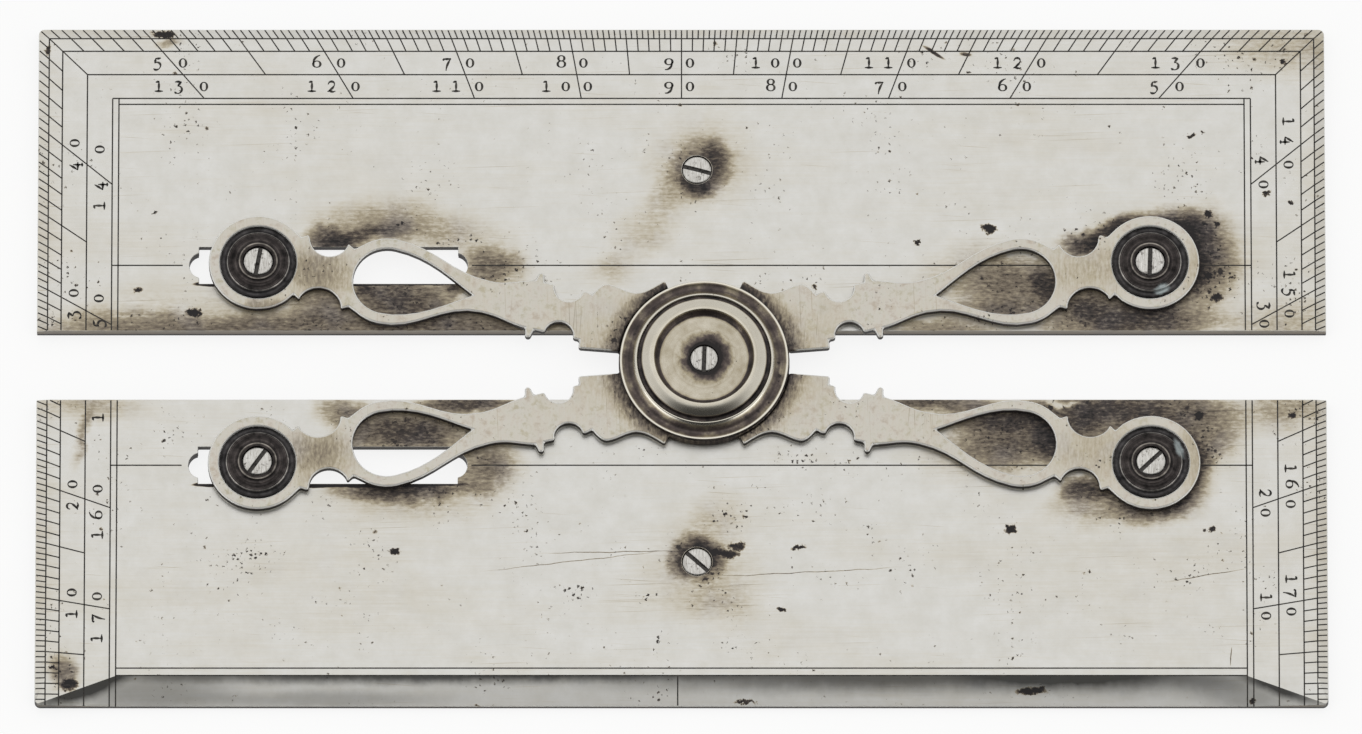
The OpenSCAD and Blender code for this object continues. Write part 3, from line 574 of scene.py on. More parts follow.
def drawn_metal(name, tones, mottle_size, layers, bands, walls, front_walls_below, grain_turn, grain_len,
                shelter_and_shade=None):
    """Nickel silver drawn with abrasive, then left to tarnish. Grain and hairlines are streaks along the
    strokes; each layer of discolouring is ellipses whose edges have crept, and some layers are painted
    shadow; grey banding on slopes is painted shade; cut walls darken towards their foot with tarnish and
    painted shade, less of it high on the front walls, which mirror the lit table; and the rounding
    between face and wall is cleaned by wear and given a painted highlight, other than in a given circle,
    where the disc guards it from wear and shades it."""
    material, tree = empty_material(name)
    spot = in_mm(tree, plan=False)
    flat = in_mm(tree)
    up = add(tree, "SeparateXYZ", [add(tree, "TexCoord", out="Normal")], out="Z")
    up = add(tree, "Math", [up], operation="ABSOLUTE")

    # All discolouring is broken up along the strokes
    # Dirt and painted shade share one total: some layers hold painted shadow
    total = {"dirt_and_shade": 0.0, "specks": 0.0}
    for kind, places in layers.items():
        into = "specks" if kind == "specks" else "dirt_and_shade"
        total[into] = patches(tree, flat, places, CREEP[kind], total[into])
    broken = streaks(tree, flat, grain_turn, *BROKEN)
    broken = add(tree, "Math", [broken, BROKEN_LEAST], operation="ADD")
    dirt_and_shade = add(tree, "Math", [total["dirt_and_shade"], broken], operation="MULTIPLY", use_clamp=True)
    ragged = moved(tree, flat, *RAGGED)
    for size in PITS:
        pit = pits(tree, ragged, *size, dirt_and_shade, total["specks"])
        dirt_and_shade = add(tree, "Math", [dirt_and_shade, pit], operation="MAXIMUM")

    # Strokes of the abrasive, a few hundredths wide, are drawn 0.25 mm wide so that they show, with slow
    # bands of thin tarnish and single hairlines along them
    grain = streaks(tree, flat, grain_turn, (grain_len, GRAIN_W), 4, 0, 1, 1)
    lifted = add(tree, "Math", [grain, 0.5], operation="SUBTRACT")
    dirt_and_shade = add(tree, "Math", [lifted, GRAIN_DIRT, dirt_and_shade], operation="MULTIPLY_ADD")
    for turn, *strokes in HAIRLINES:
        band = streaks(tree, flat, grain_turn + turn, *strokes)
        dirt_and_shade = add(tree, "Math", [dirt_and_shade, band], operation="ADD")

    # Edges worn clean and given a painted highlight, then oxide and painted shade on the cut walls, less of
    # both high on the front walls, which mirror the lit table
    worn_and_highlit = add(tree, "MapRange", [up, *WORN_AND_HIGHLIT_LEVELS])
    if shelter_and_shade:
        centre, radius = shelter_and_shade
        apart = add(tree, "VectorMath", [flat, (*centre, 0)], out="Value", operation="DISTANCE")
        bare = add(tree, "MapRange", [apart, radius, radius + SHELTER_EDGE])
        worn_and_highlit = add(tree, "Math", [worn_and_highlit, bare], operation="MULTIPLY")
    kept = add(tree, "MapRange", [worn_and_highlit, 0, 1, 1, WORN_DIRT])
    dirt_and_shade = add(tree, "Math", [dirt_and_shade, kept], operation="MULTIPLY")
    wall = add(tree, "MapRange", [up, *WALL_LEVELS], interpolation_type="SMOOTHSTEP")
    tall = add(tree, "SeparateXYZ", [spot], out="Z")
    oxide_and_shade = add(tree, "MapRange", [tall, *walls])
    front = add(tree, "SeparateXYZ", [spot], out="Y")
    front = add(tree, "MapRange", [front, front_walls_below - FRONT_WALL_EDGE, front_walls_below, 1, 0])
    front_lightening = add(tree, "MapRange", [tall, *FRONT_WALL_LEVELS])
    front_lightening = add(tree, "Math", [front, front_lightening, 1.0], operation="MULTIPLY_ADD")
    for part in (front_lightening, wall):
        oxide_and_shade = add(tree, "Math", [oxide_and_shade, part], operation="MULTIPLY")
    dirt_and_shade = add(tree, "Math", [dirt_and_shade, oxide_and_shade], operation="MAXIMUM", use_clamp=True)

    mottle = add(tree, "TexNoise", {"Vector": flat, "Scale": 1 / mottle_size, "Detail": 6, "Roughness": 0.7})
    clean = add(tree, "ValToRGB", [mottle], stops=tones)
    clean = add(tree, "Mix", {0: worn_and_highlit, 6: clean, 7: linear(WORN_AND_HIGHLIT_EDGE)}, out=2, data_type="RGBA")
    warm = add(tree, "ValToRGB", [dirt_and_shade], stops=OXIDE_TONES)
    cool = add(tree, "ValToRGB", [dirt_and_shade], stops=COOL_TONES)
    hue = add(tree, "TexNoise", {"Vector": flat, "Scale": 1 / COOL_SIZE, "Detail": 5})
    hue = add(tree, "MapRange", [hue, *COOL_LEVELS])
    brown = add(tree, "Mix", {0: hue, 6: warm, 7: cool}, out=2, data_type="RGBA")
    share = add(tree, "MapRange", [dirt_and_shade, *DIRT_AND_SHADE_SHARE])
    colour = add(tree, "Mix", {0: share, 6: clean, 7: brown}, out=2, data_type="RGBA")

    # Grey bands of painted shade on sloping faces, where the bevel mirrors the dark room
    shade = patches(tree, flat, bands, CREEP["bands"], 0.0)
    slope = add(tree, "MapRange", [up, *SLOPE_LEVELS, 0, -BAND_DARK])
    kept = add(tree, "Math", [shade, slope, 1.0], operation="MULTIPLY_ADD")
    kept = add(tree, "Math", [kept, BAND_LEAST], operation="MAXIMUM")
    colour = add(tree, "VectorMath", {0: colour, "Scale": kept}, operation="SCALE")
    metal = add(tree, "MapRange", [dirt_and_shade, *DIRT_AND_SHADE_METAL])
    metal = add(tree, "Math", [worn_and_highlit, WORN_AND_HIGHLIT_METAL, metal], operation="MULTIPLY_ADD", use_clamp=True)
    rough = add(tree, "MapRange", [dirt_and_shade, *DIRT_AND_SHADE_ROUGH])
    shade_metal(tree, colour, metal, rough, grain, *GRAIN_BUMP)
    return material


PLATE_LAYERS = {
    "upper_plate": {"stains": UPPER_STAINS, "spots": UPPER_SPOTS, "scratches_and_shadow": UPPER_SCRATCHES_AND_SHADOW,
                    "specks": UPPER_SPECKS},
    "lower_plate": {"stains": LOWER_STAINS, "spots": LOWER_SPOTS, "scratches_and_shadow": LOWER_SCRATCHES_AND_SHADOW,
                    "specks": LOWER_SPECKS},
}
for plate, layers in PLATE_LAYERS.items():
    bands = LOWER_SHADE_BANDS if plate == "lower_plate" else {}
    metal = drawn_metal("drawn_nickel_silver_" + plate, PLATE_TONES, PLATE_MOTTLE, layers, bands, PLATE_WALLS,
                        FRONT_WALLS_BELOW[plate], 0, PLATE_GRAIN)
    edges = round_corners if plate == "upper_plate" else run_out
    piece = merged_copy(plate, plate + "_sheet", metal, PLATE_ROUND, slim_noses, edges)
    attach(piece, plate)

# Engraving. Lines and figures are cut by hand with a burin and filled with black wax: degree lines
# that all point to the middle of the lower edge, five border lines and two rows of figures.
BORDERS = (1.25, 2.85, 5.8, 8.8, 9.55)
LOWER_BORDERS = (4.48, 3.56)
PIVOT_LINE = 8.25
SLOT_ENDS = (-59.0, -24.8)
BEVEL_MARK_X = -0.45
LINE_W = 0.16
TICK_W = 0.15
TICK_FROM, CORNER_FROM = 0.1, 0.28
# Least length of a tick, and the least room at its bends
TICK_LEAST, BEND_ROOM = 0.1, 0.02
EDGE_GAP, CREST_GAP = 0.1, 0.01
HAIR_W, SWELL_W = 0.12, 0.29
FIGURE_H = 1.08
FIGURE_CLEAR = 0.8
FIGURE_STEPS = 12
WAX_PROUD, WAX_DEEP = 0.012, 0.04
WAX_TONES = ((0.45, "#1E1B18"), (0.75, "#5C574F"))
WAX_GRAIN = 1.5
# Way to the right and up for the figures on each side, then the places of the noughts in the outer and the
# inner row, the tens and the hundreds along the scale from their line: at no lean of it, and more per lean
FIGURE_WAYS = {"left": ((0, 1), (-1, 0)), "top": ((1, 0), (0, 1)), "right": ((0, -1), (1, 0))}
FIGURE_PLACES = {
    "left": ((1.2, 0.3), (0.8, 2.8), (-1.45, 0.0), (-3.95, 0.0)),
    "top": ((1.0, 0.25), (1.0, 0.25), (-1.5, -0.4), (-3.8, -0.4)),
    "right": ((1.1, 0.2), (1.1, 0.2), (-1.0, -0.9), (-2.6, -1.9)),
}
# Strokes of the figures as control points of curves, one unit being the height of a nought
FIGURES = {
    "0": [[(0, 1), (-0.46, 1), (-0.46, 0), (0, 0)], [(0, 1), (0.46, 1), (0.46, 0), (0, 0)]],
    "1": [[(0.02, 1.16), (0, -0.04)], [(-0.46, -0.04), (0.46, -0.04)],
          [(0.02, 1.16), (-0.12, 1.04), (-0.34, 1)]],
    "2": [[(-0.34, 0.74), (-0.28, 1.26), (0.46, 1.16), (0.34, 0.68)],
          [(0.34, 0.68), (0.22, 0.3), (-0.4, -0.1)],
          [(-0.4, -0.1), (-0.12, 0.12), (0.1, -0.3), (0.44, -0.02)]],
    "3": [[(-0.36, 1.02), (0, 1.12), (0.38, 1.02)], [(0.38, 1.02), (0.1, 0.8), (-0.06, 0.55)],
          [(-0.06, 0.55), (0.62, 0.62), (0.5, -0.36), (-0.08, -0.3)],
          [(-0.08, -0.3), (-0.3, -0.26), (-0.4, -0.1)]],
    "4": [[(0.14, 1.05), (-0.1, 0.6), (-0.46, 0.14)], [(-0.46, 0.14), (0.48, 0.14)],
          [(0.16, 0.66), (0.16, -0.34)], [(-0.06, -0.34), (0.38, -0.34)]],
    "5": [[(-0.16, 1.04), (0.1, 0.98), (0.4, 1.1)], [(-0.16, 1.04), (-0.2, 0.75), (-0.28, 0.48)],
          [(-0.28, 0.48), (0.12, 0.8), (0.62, 0.3), (0.22, -0.14)],
          [(0.22, -0.14), (0, -0.4), (-0.4, -0.3), (-0.36, -0.12)]],
    "6": [[(0, 0.74), (-0.52, 0.74), (-0.52, 0), (0, 0)], [(0, 0.74), (0.52, 0.74), (0.52, 0), (0, 0)],
          [(0.36, 1.4), (-0.1, 1.3), (-0.46, 0.85), (-0.38, 0.36)]],
    "7": [[(-0.4, 1.0), (0, 0.9), (0.44, 1.02)], [(0.44, 1.02), (0.16, 0.6), (-0.04, 0.2), (-0.1, -0.4)],
          [(-0.4, 1.0), (-0.36, 0.86), (-0.42, 0.76)]],
    "8": [[(0, 0.74), (-0.54, 0.74), (-0.54, 0), (0, 0)], [(0, 0.74), (0.54, 0.74), (0.54, 0), (0, 0)],
          [(0, 1.36), (-0.44, 1.36), (-0.44, 0.74), (0, 0.74)],
          [(0, 1.36), (0.44, 1.36), (0.44, 0.74), (0, 0.74)]],
    "9": [[(0, 1), (-0.52, 1), (-0.52, 0.3), (0, 0.3)], [(0, 1), (0.52, 1), (0.52, 0.3), (0, 0.3)],
          [(0.38, 0.66), (0.4, 0.1), (0, -0.36), (-0.44, -0.26)]],
}


def joined(*solids):
    """Corners, faces and any values per corner of several solids, each as one array."""
    starts = np.cumsum([0] + [len(solid[0]) for solid in solids])
    corners, faces, *values = zip(*solids)
    faces = [part + start for part, start in zip(faces, starts)]
    return [np.concatenate(parts) for parts in (corners, faces, *values)]


def ribbons(plate, paths, widths):
    """Closed strips of wax along paths on a plate. Each point of a path goes half its width to either
    side, square to the path, then just above and just below the face. Gives corners and faces."""
    count, steps = paths.shape[:2]
    along = np.gradient(paths, axis=1)
    along = along / np.linalg.norm(along, axis=2, keepdims=True)
    aside = np.stack([-along[..., 1], along[..., 0]], -1) * widths[..., None] / 2
    ring = np.stack([paths + aside, paths - aside, paths - aside, paths + aside], 2)
    lift = np.array([WAX_PROUD, WAX_PROUD, -WAX_DEEP, -WAX_DEEP])
    tall = height_on(plate, ring[..., 0], ring[..., 1]) + lift
    corners = np.concatenate([ring, tall[..., None]], -1).reshape(-1, 3)
    index = np.arange(count * steps * 4).reshape(count, steps, 4)
    beside = np.roll(index, -1, axis=2)
    sides = np.stack([index[:, :-1], beside[:, :-1], beside[:, 1:], index[:, 1:]], -1).reshape(-1, 4)
    return corners, np.concatenate([sides, index[:, 0], index[:, -1]])


def spoke(angle, inset):
    """Point on the ray at an angle from the middle of the lower edge of the shut rule, at an inset from
    the outer edges: the point where the ray meets the shut rectangle, drawn in towards its source."""
    run, climb = np.cos(angle), np.sin(angle)
    reach = (HALF_LEN - inset) / np.maximum(np.abs(run), climb)
    return np.stack([run * reach, climb * reach], -1)


def figure_strokes(right, up, at, figure):
    """Strokes of one figure, centred at a point, as points of its curves: each curve is the sum of its
    control points weighted by the terms of (1 - t) + t raised to their number less one."""
    t = np.linspace(0, 1, FIGURE_STEPS)[:, None]
    paths = []
    for control in FIGURES[figure]:
        power = len(control) - 1
        weights = [math.comb(power, i) * (1 - t) ** (power - i) * t ** i for i in range(power + 1)]
        curve = sum(weight * np.array(point) for weight, point in zip(weights, control))
        shape = (curve - [0, 0.5]) * FIGURE_H
        paths.append(at + shape[:, :1] * right + shape[:, 1:] * up)
    return paths


def degree_lines(plate, foot, low, high):
    """Lines at every half degree that lie on one plate, from the edge in to the border that their rank
    reaches, cut off at the plate's inner edge. Heights count from foot, the lower edge of the shut rule."""
    halves = np.arange(1, 360)
    rank = np.select([halves % 90 == 0, halves % 20 == 0, halves % 10 == 0, halves % 2 == 0], [2, 3, 2, 1], 0)
    rank[halves == 180] = 3
    angle = np.radians(halves / 2)
    top = spoke(angle, 0)[:, 1]
    start = np.where(halves % 180 == 90, CORNER_FROM, TICK_FROM)
    start = np.maximum(start, HALF_LEN * (1 - high / top))
    end = np.minimum(np.array(BORDERS)[rank], HALF_LEN * (1 - low / top))
    kept = end - start > TICK_LEAST
    mitre = CHAMFER_W * np.clip(top / BEVEL_W, 0, 1)
    bend = np.clip(mitre, start + BEND_ROOM, end - BEND_ROOM)
    insets = np.stack([start, bend, end], 1)[kept]
    paths = spoke(angle[kept, None] + np.zeros(3), insets) + [0, foot]
    return ribbons(plate, paths, np.full(paths.shape[:2], TICK_W))


def figures(plate, foot, low, high):
    """Two rows of figures, every ten degrees: the outer row counts from the left, the inner row from the
    right. The nought stands past its line, the tens before it and the hundreds before them, and a figure
    by an edge is moved in to clear it."""
    paths = []
    for degrees in range(10, 180, 10):
        slant = math.tan(math.radians(degrees))
        lean = min(abs(slant), 1 / abs(slant)) if degrees != 90 else 0
        side = "left" if degrees < 45 else "top" if degrees < 135 else "right"
        right, up = np.array(FIGURE_WAYS[side])
        for row, number in ((1, degrees), (2, 180 - degrees)):
            places = (FIGURE_PLACES[side][row - 1], *FIGURE_PLACES[side][2:])
            inset = (BORDERS[row] + BORDERS[row + 1]) / 2
            centre = spoke(np.radians(180 - degrees), inset)
            for figure, (shift, more) in zip(reversed(str(number)), places):
                at = centre + right * (shift + more * lean)
                if low < at[1] < high:
                    at[1] = np.clip(at[1], low + FIGURE_CLEAR, high - FIGURE_CLEAR)
                    paths += figure_strokes(right, up, at + [0, foot], figure)
    paths = np.array(paths)
    swell = HAIR_W + (SWELL_W - HAIR_W) * np.sin(np.pi * np.linspace(0, 1, FIGURE_STEPS)) ** 2
    return ribbons(plate, paths, np.broadcast_to(swell, paths.shape[:2]))


def border_lines(plate):
    """Border lines of one plate, the line through its pivots, and the mark in the middle of the bevel."""
    upper = plate == "upper_plate"
    inner = UPPER_LOW[1] + EDGE_GAP if upper else LOWER_FOOT + PLATE_W - EDGE_GAP
    outer = UPPER_HIGH[1] if upper else LOWER_FOOT
    edge = HALF_LEN - np.array(BORDERS)
    lines = []
    for side in (-1, 1):
        for border, x in zip(BORDERS, side * edge):
            end = outer - min(border, BORDERS[3]) if upper else outer
            crease = BEVEL_CREST - BEVEL_W * max(0, 1 - border / RUN_OUT)
            stops = np.linspace(inner, end, 4) if upper else (inner, BEVEL_CREST + CREST_GAP, crease, end)
            lines.append([(x, y) for y in stops])
    if upper:
        rows = [(x, outer - border) for border, x in zip(BORDERS, edge)]
    else:
        rows = [(edge[4], outer + border) for border in LOWER_BORDERS]
        lines.append([(BEVEL_MARK_X, y) for y in np.linspace(outer + EDGE_GAP, BEVEL_CREST, 4)])
    for x, y in rows:
        lines.append([(at, y) for at in np.linspace(-x, x, 4)])
    y = UPPER_LOW[1] + PIVOT_LINE if upper else LOWER_FOOT + PLATE_W - PIVOT_LINE
    for x0, x1 in ((-edge[3], SLOT_ENDS[0]), (SLOT_ENDS[1], edge[3])):
        lines.append([(at, y) for at in np.linspace(x0, x1, 4)])
    paths = np.array(lines)
    return ribbons(plate, paths, np.full(paths.shape[:2], LINE_W))


# Black wax: dull, and worn to grey in places
wax, tree = empty_material("black_wax_in_engraving")
loss = add(tree, "TexNoise", {"Vector": in_mm(tree, plan=False), "Scale": 1 / WAX_GRAIN, "Detail": 6,
                              "Roughness": 0.7})
tone = add(tree, "ValToRGB", [loss], stops=WAX_TONES)
shader = add(tree, "BsdfPrincipled", {"Base Color": tone, "Roughness": 0.7})
add(tree, "OutputMaterial", {"Surface": shader})

for plate, foot, low, high in (("upper_plate", UPPER_LOW[1] - PLATE_W, PLATE_W + EDGE_GAP, 2 * PLATE_W),
                               ("lower_plate", LOWER_FOOT, 0, PLATE_W - EDGE_GAP)):
    cuts = (border_lines(plate), degree_lines(plate, foot, low, high), figures(plate, foot, low, high))
    engraving = built(plate + "_engraving", *joined(*cuts), wax)
    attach(engraving, plate)

# Plate screws. Flush slotted steel screws in the middle of each plate, turned, slotted with a saw and
# filed bright, with rust and old dirt left in the slot.
SLOT_W, SLOT_D = 0.52, 0.26
HEAD_CROWN = 0.1
# Share of its radius from which a head rounds off, and by how much it drops
ROUND_FROM, HEAD_ROUND = 0.86, 0.10
HEAD_ROWS, HEAD_COLUMNS = 26, 41
THREAD_PITCH, THREAD_DEEP = 0.36, 0.10
SHANK_STEPS, SHANK_LAP = 90, 0.05
PLATE_HEAD_Z, PLATE_THREAD_R = 0.9, 1.1
SCREW_SMOOTH = 32
SCREW_TONES = ((0.35, "#A29E97"), (0.6, "#D6D4CF"))
RUST_TONES = ((0.0, "#8F857A"), (0.5, "#4A3F38"), (1.0, "#17120F"))
# Width and length of the file's strokes, size and levels of the specks, and how dirty the slot is
FILE_STROKES = (0.12, 1.6, 1)
SPECK_SIZE = 2 / 3
SPECK_LEVELS = (0.55, 0.65, 0, 0.85)
SLOT_DIRT = 0.9
# Levels of dirt for metal and for roughness, then the strength and depth of the strokes' bumps
SCREW_METAL = (0, 1, 1, 0.1)
SCREW_ROUGH = (0, 1, 0.22, 0.7)
SCREW_BUMP = (0.3, 0.006)
# Steps round a turned piece
AROUND = 160


def extent(node):
    """Low and high corner of a CAD node's box in millimetres, its middle in plan, and half its length."""
    low, high = (np.array(point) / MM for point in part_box(node))
    return low, high, (low + high) / 2 * (1, 1, 0), (high[0] - low[0]) / 2


def turned(profile):
    """A closed profile of radii and heights carried round an upright axis: each point goes to
    x = r cos a, y = r sin a at its own height, for evenly spaced turns a. Its value is its radius."""
    turn = np.linspace(0, 2 * np.pi, AROUND, endpoint=False)[:, None]
    radius, tall = profile[:, 0] + 0 * turn, profile[:, 1] + 0 * turn
    corners = np.stack([radius * np.cos(turn), radius * np.sin(turn), tall], -1).reshape(-1, 3)
    index = np.arange(len(corners)).reshape(AROUND, -1)
    ahead = np.roll(index, -1, 0)
    faces = np.stack([index, ahead, np.roll(ahead, -1, 1), np.roll(index, -1, 1)], -1).reshape(-1, 4)
    return corners, faces, radius.ravel()


def slotted_head(radius, low, top, turn):
    """Head of a screw. Its rows are chords of a disc, x = u sqrt(R^2 - y^2); its height is a low crown
    that rounds off at the rim, dropped to the floor of the slot along the middle rows; a flat underside
    and a skirt close it. The value of a corner is 1 in the slot and 0 outside."""
    half = SLOT_W / 2
    swing = np.linspace(-math.pi / 2, -math.asin(half / radius), HEAD_ROWS)
    below = radius * np.sin(swing)
    y = np.concatenate([below, [-half, half], -below[::-1]])[:, None]
    in_slot = np.zeros_like(y)
    in_slot[len(below):len(below) + 2] = 1
    u = np.sin(np.linspace(-math.pi / 2, math.pi / 2, HEAD_COLUMNS))
    x = u * np.sqrt(np.maximum(radius ** 2 - y ** 2, 0))
    share = np.hypot(x, y) / radius
    crown = top - HEAD_CROWN * share ** 2
    crown = crown - HEAD_ROUND * np.maximum(0, (share - ROUND_FROM) / (1 - ROUND_FROM)) ** 2
    tall = np.where(in_slot > 0, top - SLOT_D, crown)
    y = y + 0 * x
    turn = math.radians(turn)
    across = x * math.cos(turn) - y * math.sin(turn)
    along = x * math.sin(turn) + y * math.cos(turn)
    face = np.stack([across, along, tall], -1).reshape(-1, 3)
    under = np.stack([across, along, np.full_like(x, low)], -1).reshape(-1, 3)
    index = np.arange(x.size).reshape(x.shape)
    top_faces = np.stack([index[:-1, :-1], index[:-1, 1:], index[1:, 1:], index[1:, :-1]], -1).reshape(-1, 4)
    rims = []
    for column in (0, -1):
        rim = index[:, column]
        rims.append(np.stack([rim[:-1], rim[1:], rim[1:] + x.size, rim[:-1] + x.size], -1))
    faces = np.concatenate([top_faces, top_faces[:, ::-1] + x.size, *rims])
    return np.concatenate([face, under]), faces, np.tile((in_slot + 0 * x).ravel(), 2)


def slotted_screw(node, head_low, thread_r, turn, body):
    """A slotted head on a shank whose radius falls and rises evenly along each turn of the thread."""
    low, high, middle, head_r = extent(node)
    tall = np.linspace(low[2], head_low + SHANK_LAP, SHANK_STEPS)
    notch = np.abs((tall - low[2]) / THREAD_PITCH % 1 - 0.5) * 2
    shank = np.c_[thread_r - THREAD_DEEP * notch, tall]
    shank = np.concatenate([[[0, low[2]]], shank, [[0, tall[-1]]]])
    shank_corners, shank_faces, radius = turned(shank)
    corners, faces, grime = joined(slotted_head(head_r, head_low, high[2], turn),
                                   (shank_corners, shank_faces, 0 * radius))
    screw = built(node + "_slotted", corners + middle, faces, filed_steel, SCREW_SMOOTH, grime=grime)
    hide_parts(node)
    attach(screw, body)


# Filed steel: bright with fine strokes and pits, brown to black in the slot
filed_steel, tree = empty_material("filed_bright_steel")
flat = in_mm(tree)
strokes = add(tree, "Mapping", {"Vector": flat, "Scale": FILE_STROKES}, vector_type="TEXTURE")
grain = add(tree, "TexNoise", {"Vector": strokes, "Scale": 1, "Detail": 4, "Roughness": 0.65})
clean = add(tree, "ValToRGB", [grain], stops=SCREW_TONES)
grime = add(tree, "Attribute", attribute_name="grime", out="Fac")
grime = add(tree, "Math", [grime, SLOT_DIRT], operation="MULTIPLY")
specks = add(tree, "TexNoise", {"Vector": flat, "Scale": 1 / SPECK_SIZE, "Detail": 7, "Roughness": 0.75})
specks = add(tree, "MapRange", [specks, *SPECK_LEVELS])
grime = add(tree, "Math", [grime, specks], operation="ADD", use_clamp=True)
rust = add(tree, "ValToRGB", [grime], stops=RUST_TONES)
colour = add(tree, "Mix", {0: grime, 6: clean, 7: rust}, out=2, data_type="RGBA")
metal = add(tree, "MapRange", [grime, *SCREW_METAL])
rough = add(tree, "MapRange", [grime, *SCREW_ROUGH])
shade_metal(tree, colour, metal, rough, grain, *SCREW_BUMP)

slotted_screw("upper_plate_screw", PLATE_HEAD_Z, PLATE_THREAD_R, -15, "upper_plate")
slotted_screw("lower_plate_screw", PLATE_HEAD_Z, PLATE_THREAD_R, -42, "lower_plate")

# Inner pieces. Studs, sliders, keepers and the centre post are plain turned or filed steel, riveted or
# sliding under the bars, and keep their CAD shape.
INNER_TONES = ((0.45, "#A09C95"), (0.68, "#6F6A62"), (0.9, "#4B4038"))
# Length, width and depth of the file's strokes and how much they count, and the size of the clouds
INNER_STROKES = (2.0, 0.15, 0.4)
STROKES_COUNT = 0.35
CLOUD_SIZE = 5 / 3
INNER_ROUGH = 0.42
INNER_BUMP = (0.25, 0.006)
INNER_NODES = ("upper_stud", "lower_stud", "upper_slider", "lower_slider", "upper_keeper", "lower_keeper",
               "centre_post")

# Plain steel: grey with oily brown clouds and fine file strokes
plain_steel, tree = empty_material("plain_oiled_steel")
spot = in_mm(tree, plan=False)
strokes = add(tree, "Mapping", {"Vector": spot, "Scale": INNER_STROKES}, vector_type="TEXTURE")
grain = add(tree, "TexNoise", {"Vector": strokes, "Scale": 1, "Detail": 3})
cloud = add(tree, "TexNoise", {"Vector": spot, "Scale": 1 / CLOUD_SIZE, "Detail": 6, "Roughness": 0.7})
mixed = add(tree, "Math", [grain, STROKES_COUNT, cloud], operation="MULTIPLY_ADD")
tone = add(tree, "ValToRGB", [mixed], stops=INNER_TONES)
shade_metal(tree, tone, 1.0, INNER_ROUGH, grain, *INNER_BUMP)
for node in INNER_NODES:
    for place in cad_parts[node].material_slots:
        place.material = plain_steel

# Bars. Two pierced bars of nickel silver, sawn and filed to a scrolled outline, halved into each other
# at the centre, with a bright edge all round, worn and with a painted highlight, dark walls of oxide and
# painted shade, and the disc's shadow painted round the crossing.
BAR_ROUND = 0.26
BAR_TONES = ((0.34, "#B0A994"), (0.46, "#C9C6BD"), (0.54, "#C9C4BB"), (0.66, "#B3A89B"))
BAR_MOTTLE, BAR_GRAIN = 1.6, 1.6
# Dark oxide and painted shade on the bars' walls, from their foot to their head
BAR_WALLS = (2.2, 3.3, 0.97, 0.9)
# Walls in front of this place get less painted shade; no wall of a bar lies there
BAR_FRONT_WALLS_BELOW = -80.0
# Radius round the crossing in which the disc keeps the edges from wear and shades them, so that they get
# no worn brightness and no painted highlight
DISC_SHELTER_AND_SHADE = 10.7
disc_low, disc_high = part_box("centre_disc")
CROSSING = (disc_low + disc_high) / 2 / MM
BAR_STAINS = {
    "upper left neck": (-43.0, 11.2, 6.4, 4.6, 0, 0.33),
    "foot of the upper left ring": (-49.0, 7.0, 6.0, 1.6, 0, 0.32),
    "lower left neck": (-43.0, -11.4, 6.4, 4.6, 0, 0.31),
    "upper right neck": (48.0, 11.6, 9.0, 5.0, 0, 0.2),
    "upper right ring": (61.0, 12.0, 3.0, 6.0, 0, 0.2),
    "lower right neck": (48.0, -11.6, 9.0, 5.0, 0, 0.15),
    "lower right ring": (61.0, -12.0, 3.0, 6.0, 0, 0.2),
    "beside the disc": (CROSSING.x, CROSSING.y, 19.0, 10.0, 0, 0.3),
    "upper left spur": (CROSSING.x - 5.4, CROSSING.y + 8.6, 3.6, 1.8, 35, 0.4),
    "upper right spur": (CROSSING.x + 5.4, CROSSING.y + 8.6, 3.6, 1.8, -35, 0.4),
    "all over": (0.0, 0.0, 90.0, 40.0, 0, 0.06),
}
# Painted shadow of the disc, black on the bars round and under it; it is the bars' layer of spots
BAR_PAINTED_SHADOW = {"round the disc": (CROSSING.x, CROSSING.y, 11.3, 11.3, 0, 1.6)}
BAR_LAYERS = {"stains": BAR_STAINS, "spots": BAR_PAINTED_SHADOW}
# Pivots at the ends of the bars
LEFT_X, RIGHT_X = -50.05, 55.4
PIVOTS = {"falling_bar": ((LEFT_X, SLOT_Y), (RIGHT_X, -SLOT_Y)),
          "rising_bar": ((LEFT_X, -SLOT_Y), (RIGHT_X, SLOT_Y))}
# Corners of the cusps beside a neck, from the crossing towards the pivot and outwards, and where they go
CUSPS = (((43.0, 4.65), (43.55, 4.3)), ((44.39, 4.65), (44.4, 4.8)), ((49.01, 4.65), (49.2, 4.8)),
         ((50.65, 4.65), (50.0, 4.28)), ((41.71, -3.3), (42.55, -2.95)), ((43.34, -3.3), (43.35, -3.45)),
         ((48.46, -3.3), (48.4, -3.45)), ((49.37, -3.3), (49.2, -2.95)))


def sharpen_cusps(shell, bar):
    """Draws out the tip of each cusp beside a bar's necks and files a nick behind it: the nearest corner at
    the top and at the underside of the bar goes the way from the cusp's old place to its new one."""
    shell.verts.ensure_lookup_table()
    spots = np.array([vert.co for vert in shell.verts]) / MM
    for pivot in PIVOTS[bar]:
        along = np.array(pivot) - CROSSING.xy
        along /= np.linalg.norm(along)
        out = np.array((-along[1], along[0])) * np.sign(along[0] * along[1])
        arm = (spots[:, :2] - CROSSING.xy) @ np.c_[along, out]
        for old, new in CUSPS:
            apart = np.linalg.norm(arm - old, axis=1)
            for level in (spots[:, 2].min(), spots[:, 2].max()):
                corner = shell.verts[int(np.argmin(apart + np.abs(spots[:, 2] - level)))]
                step = (np.array(new) - old) @ np.array((along, out)) * MM
                corner.co.xy += Vector(step)


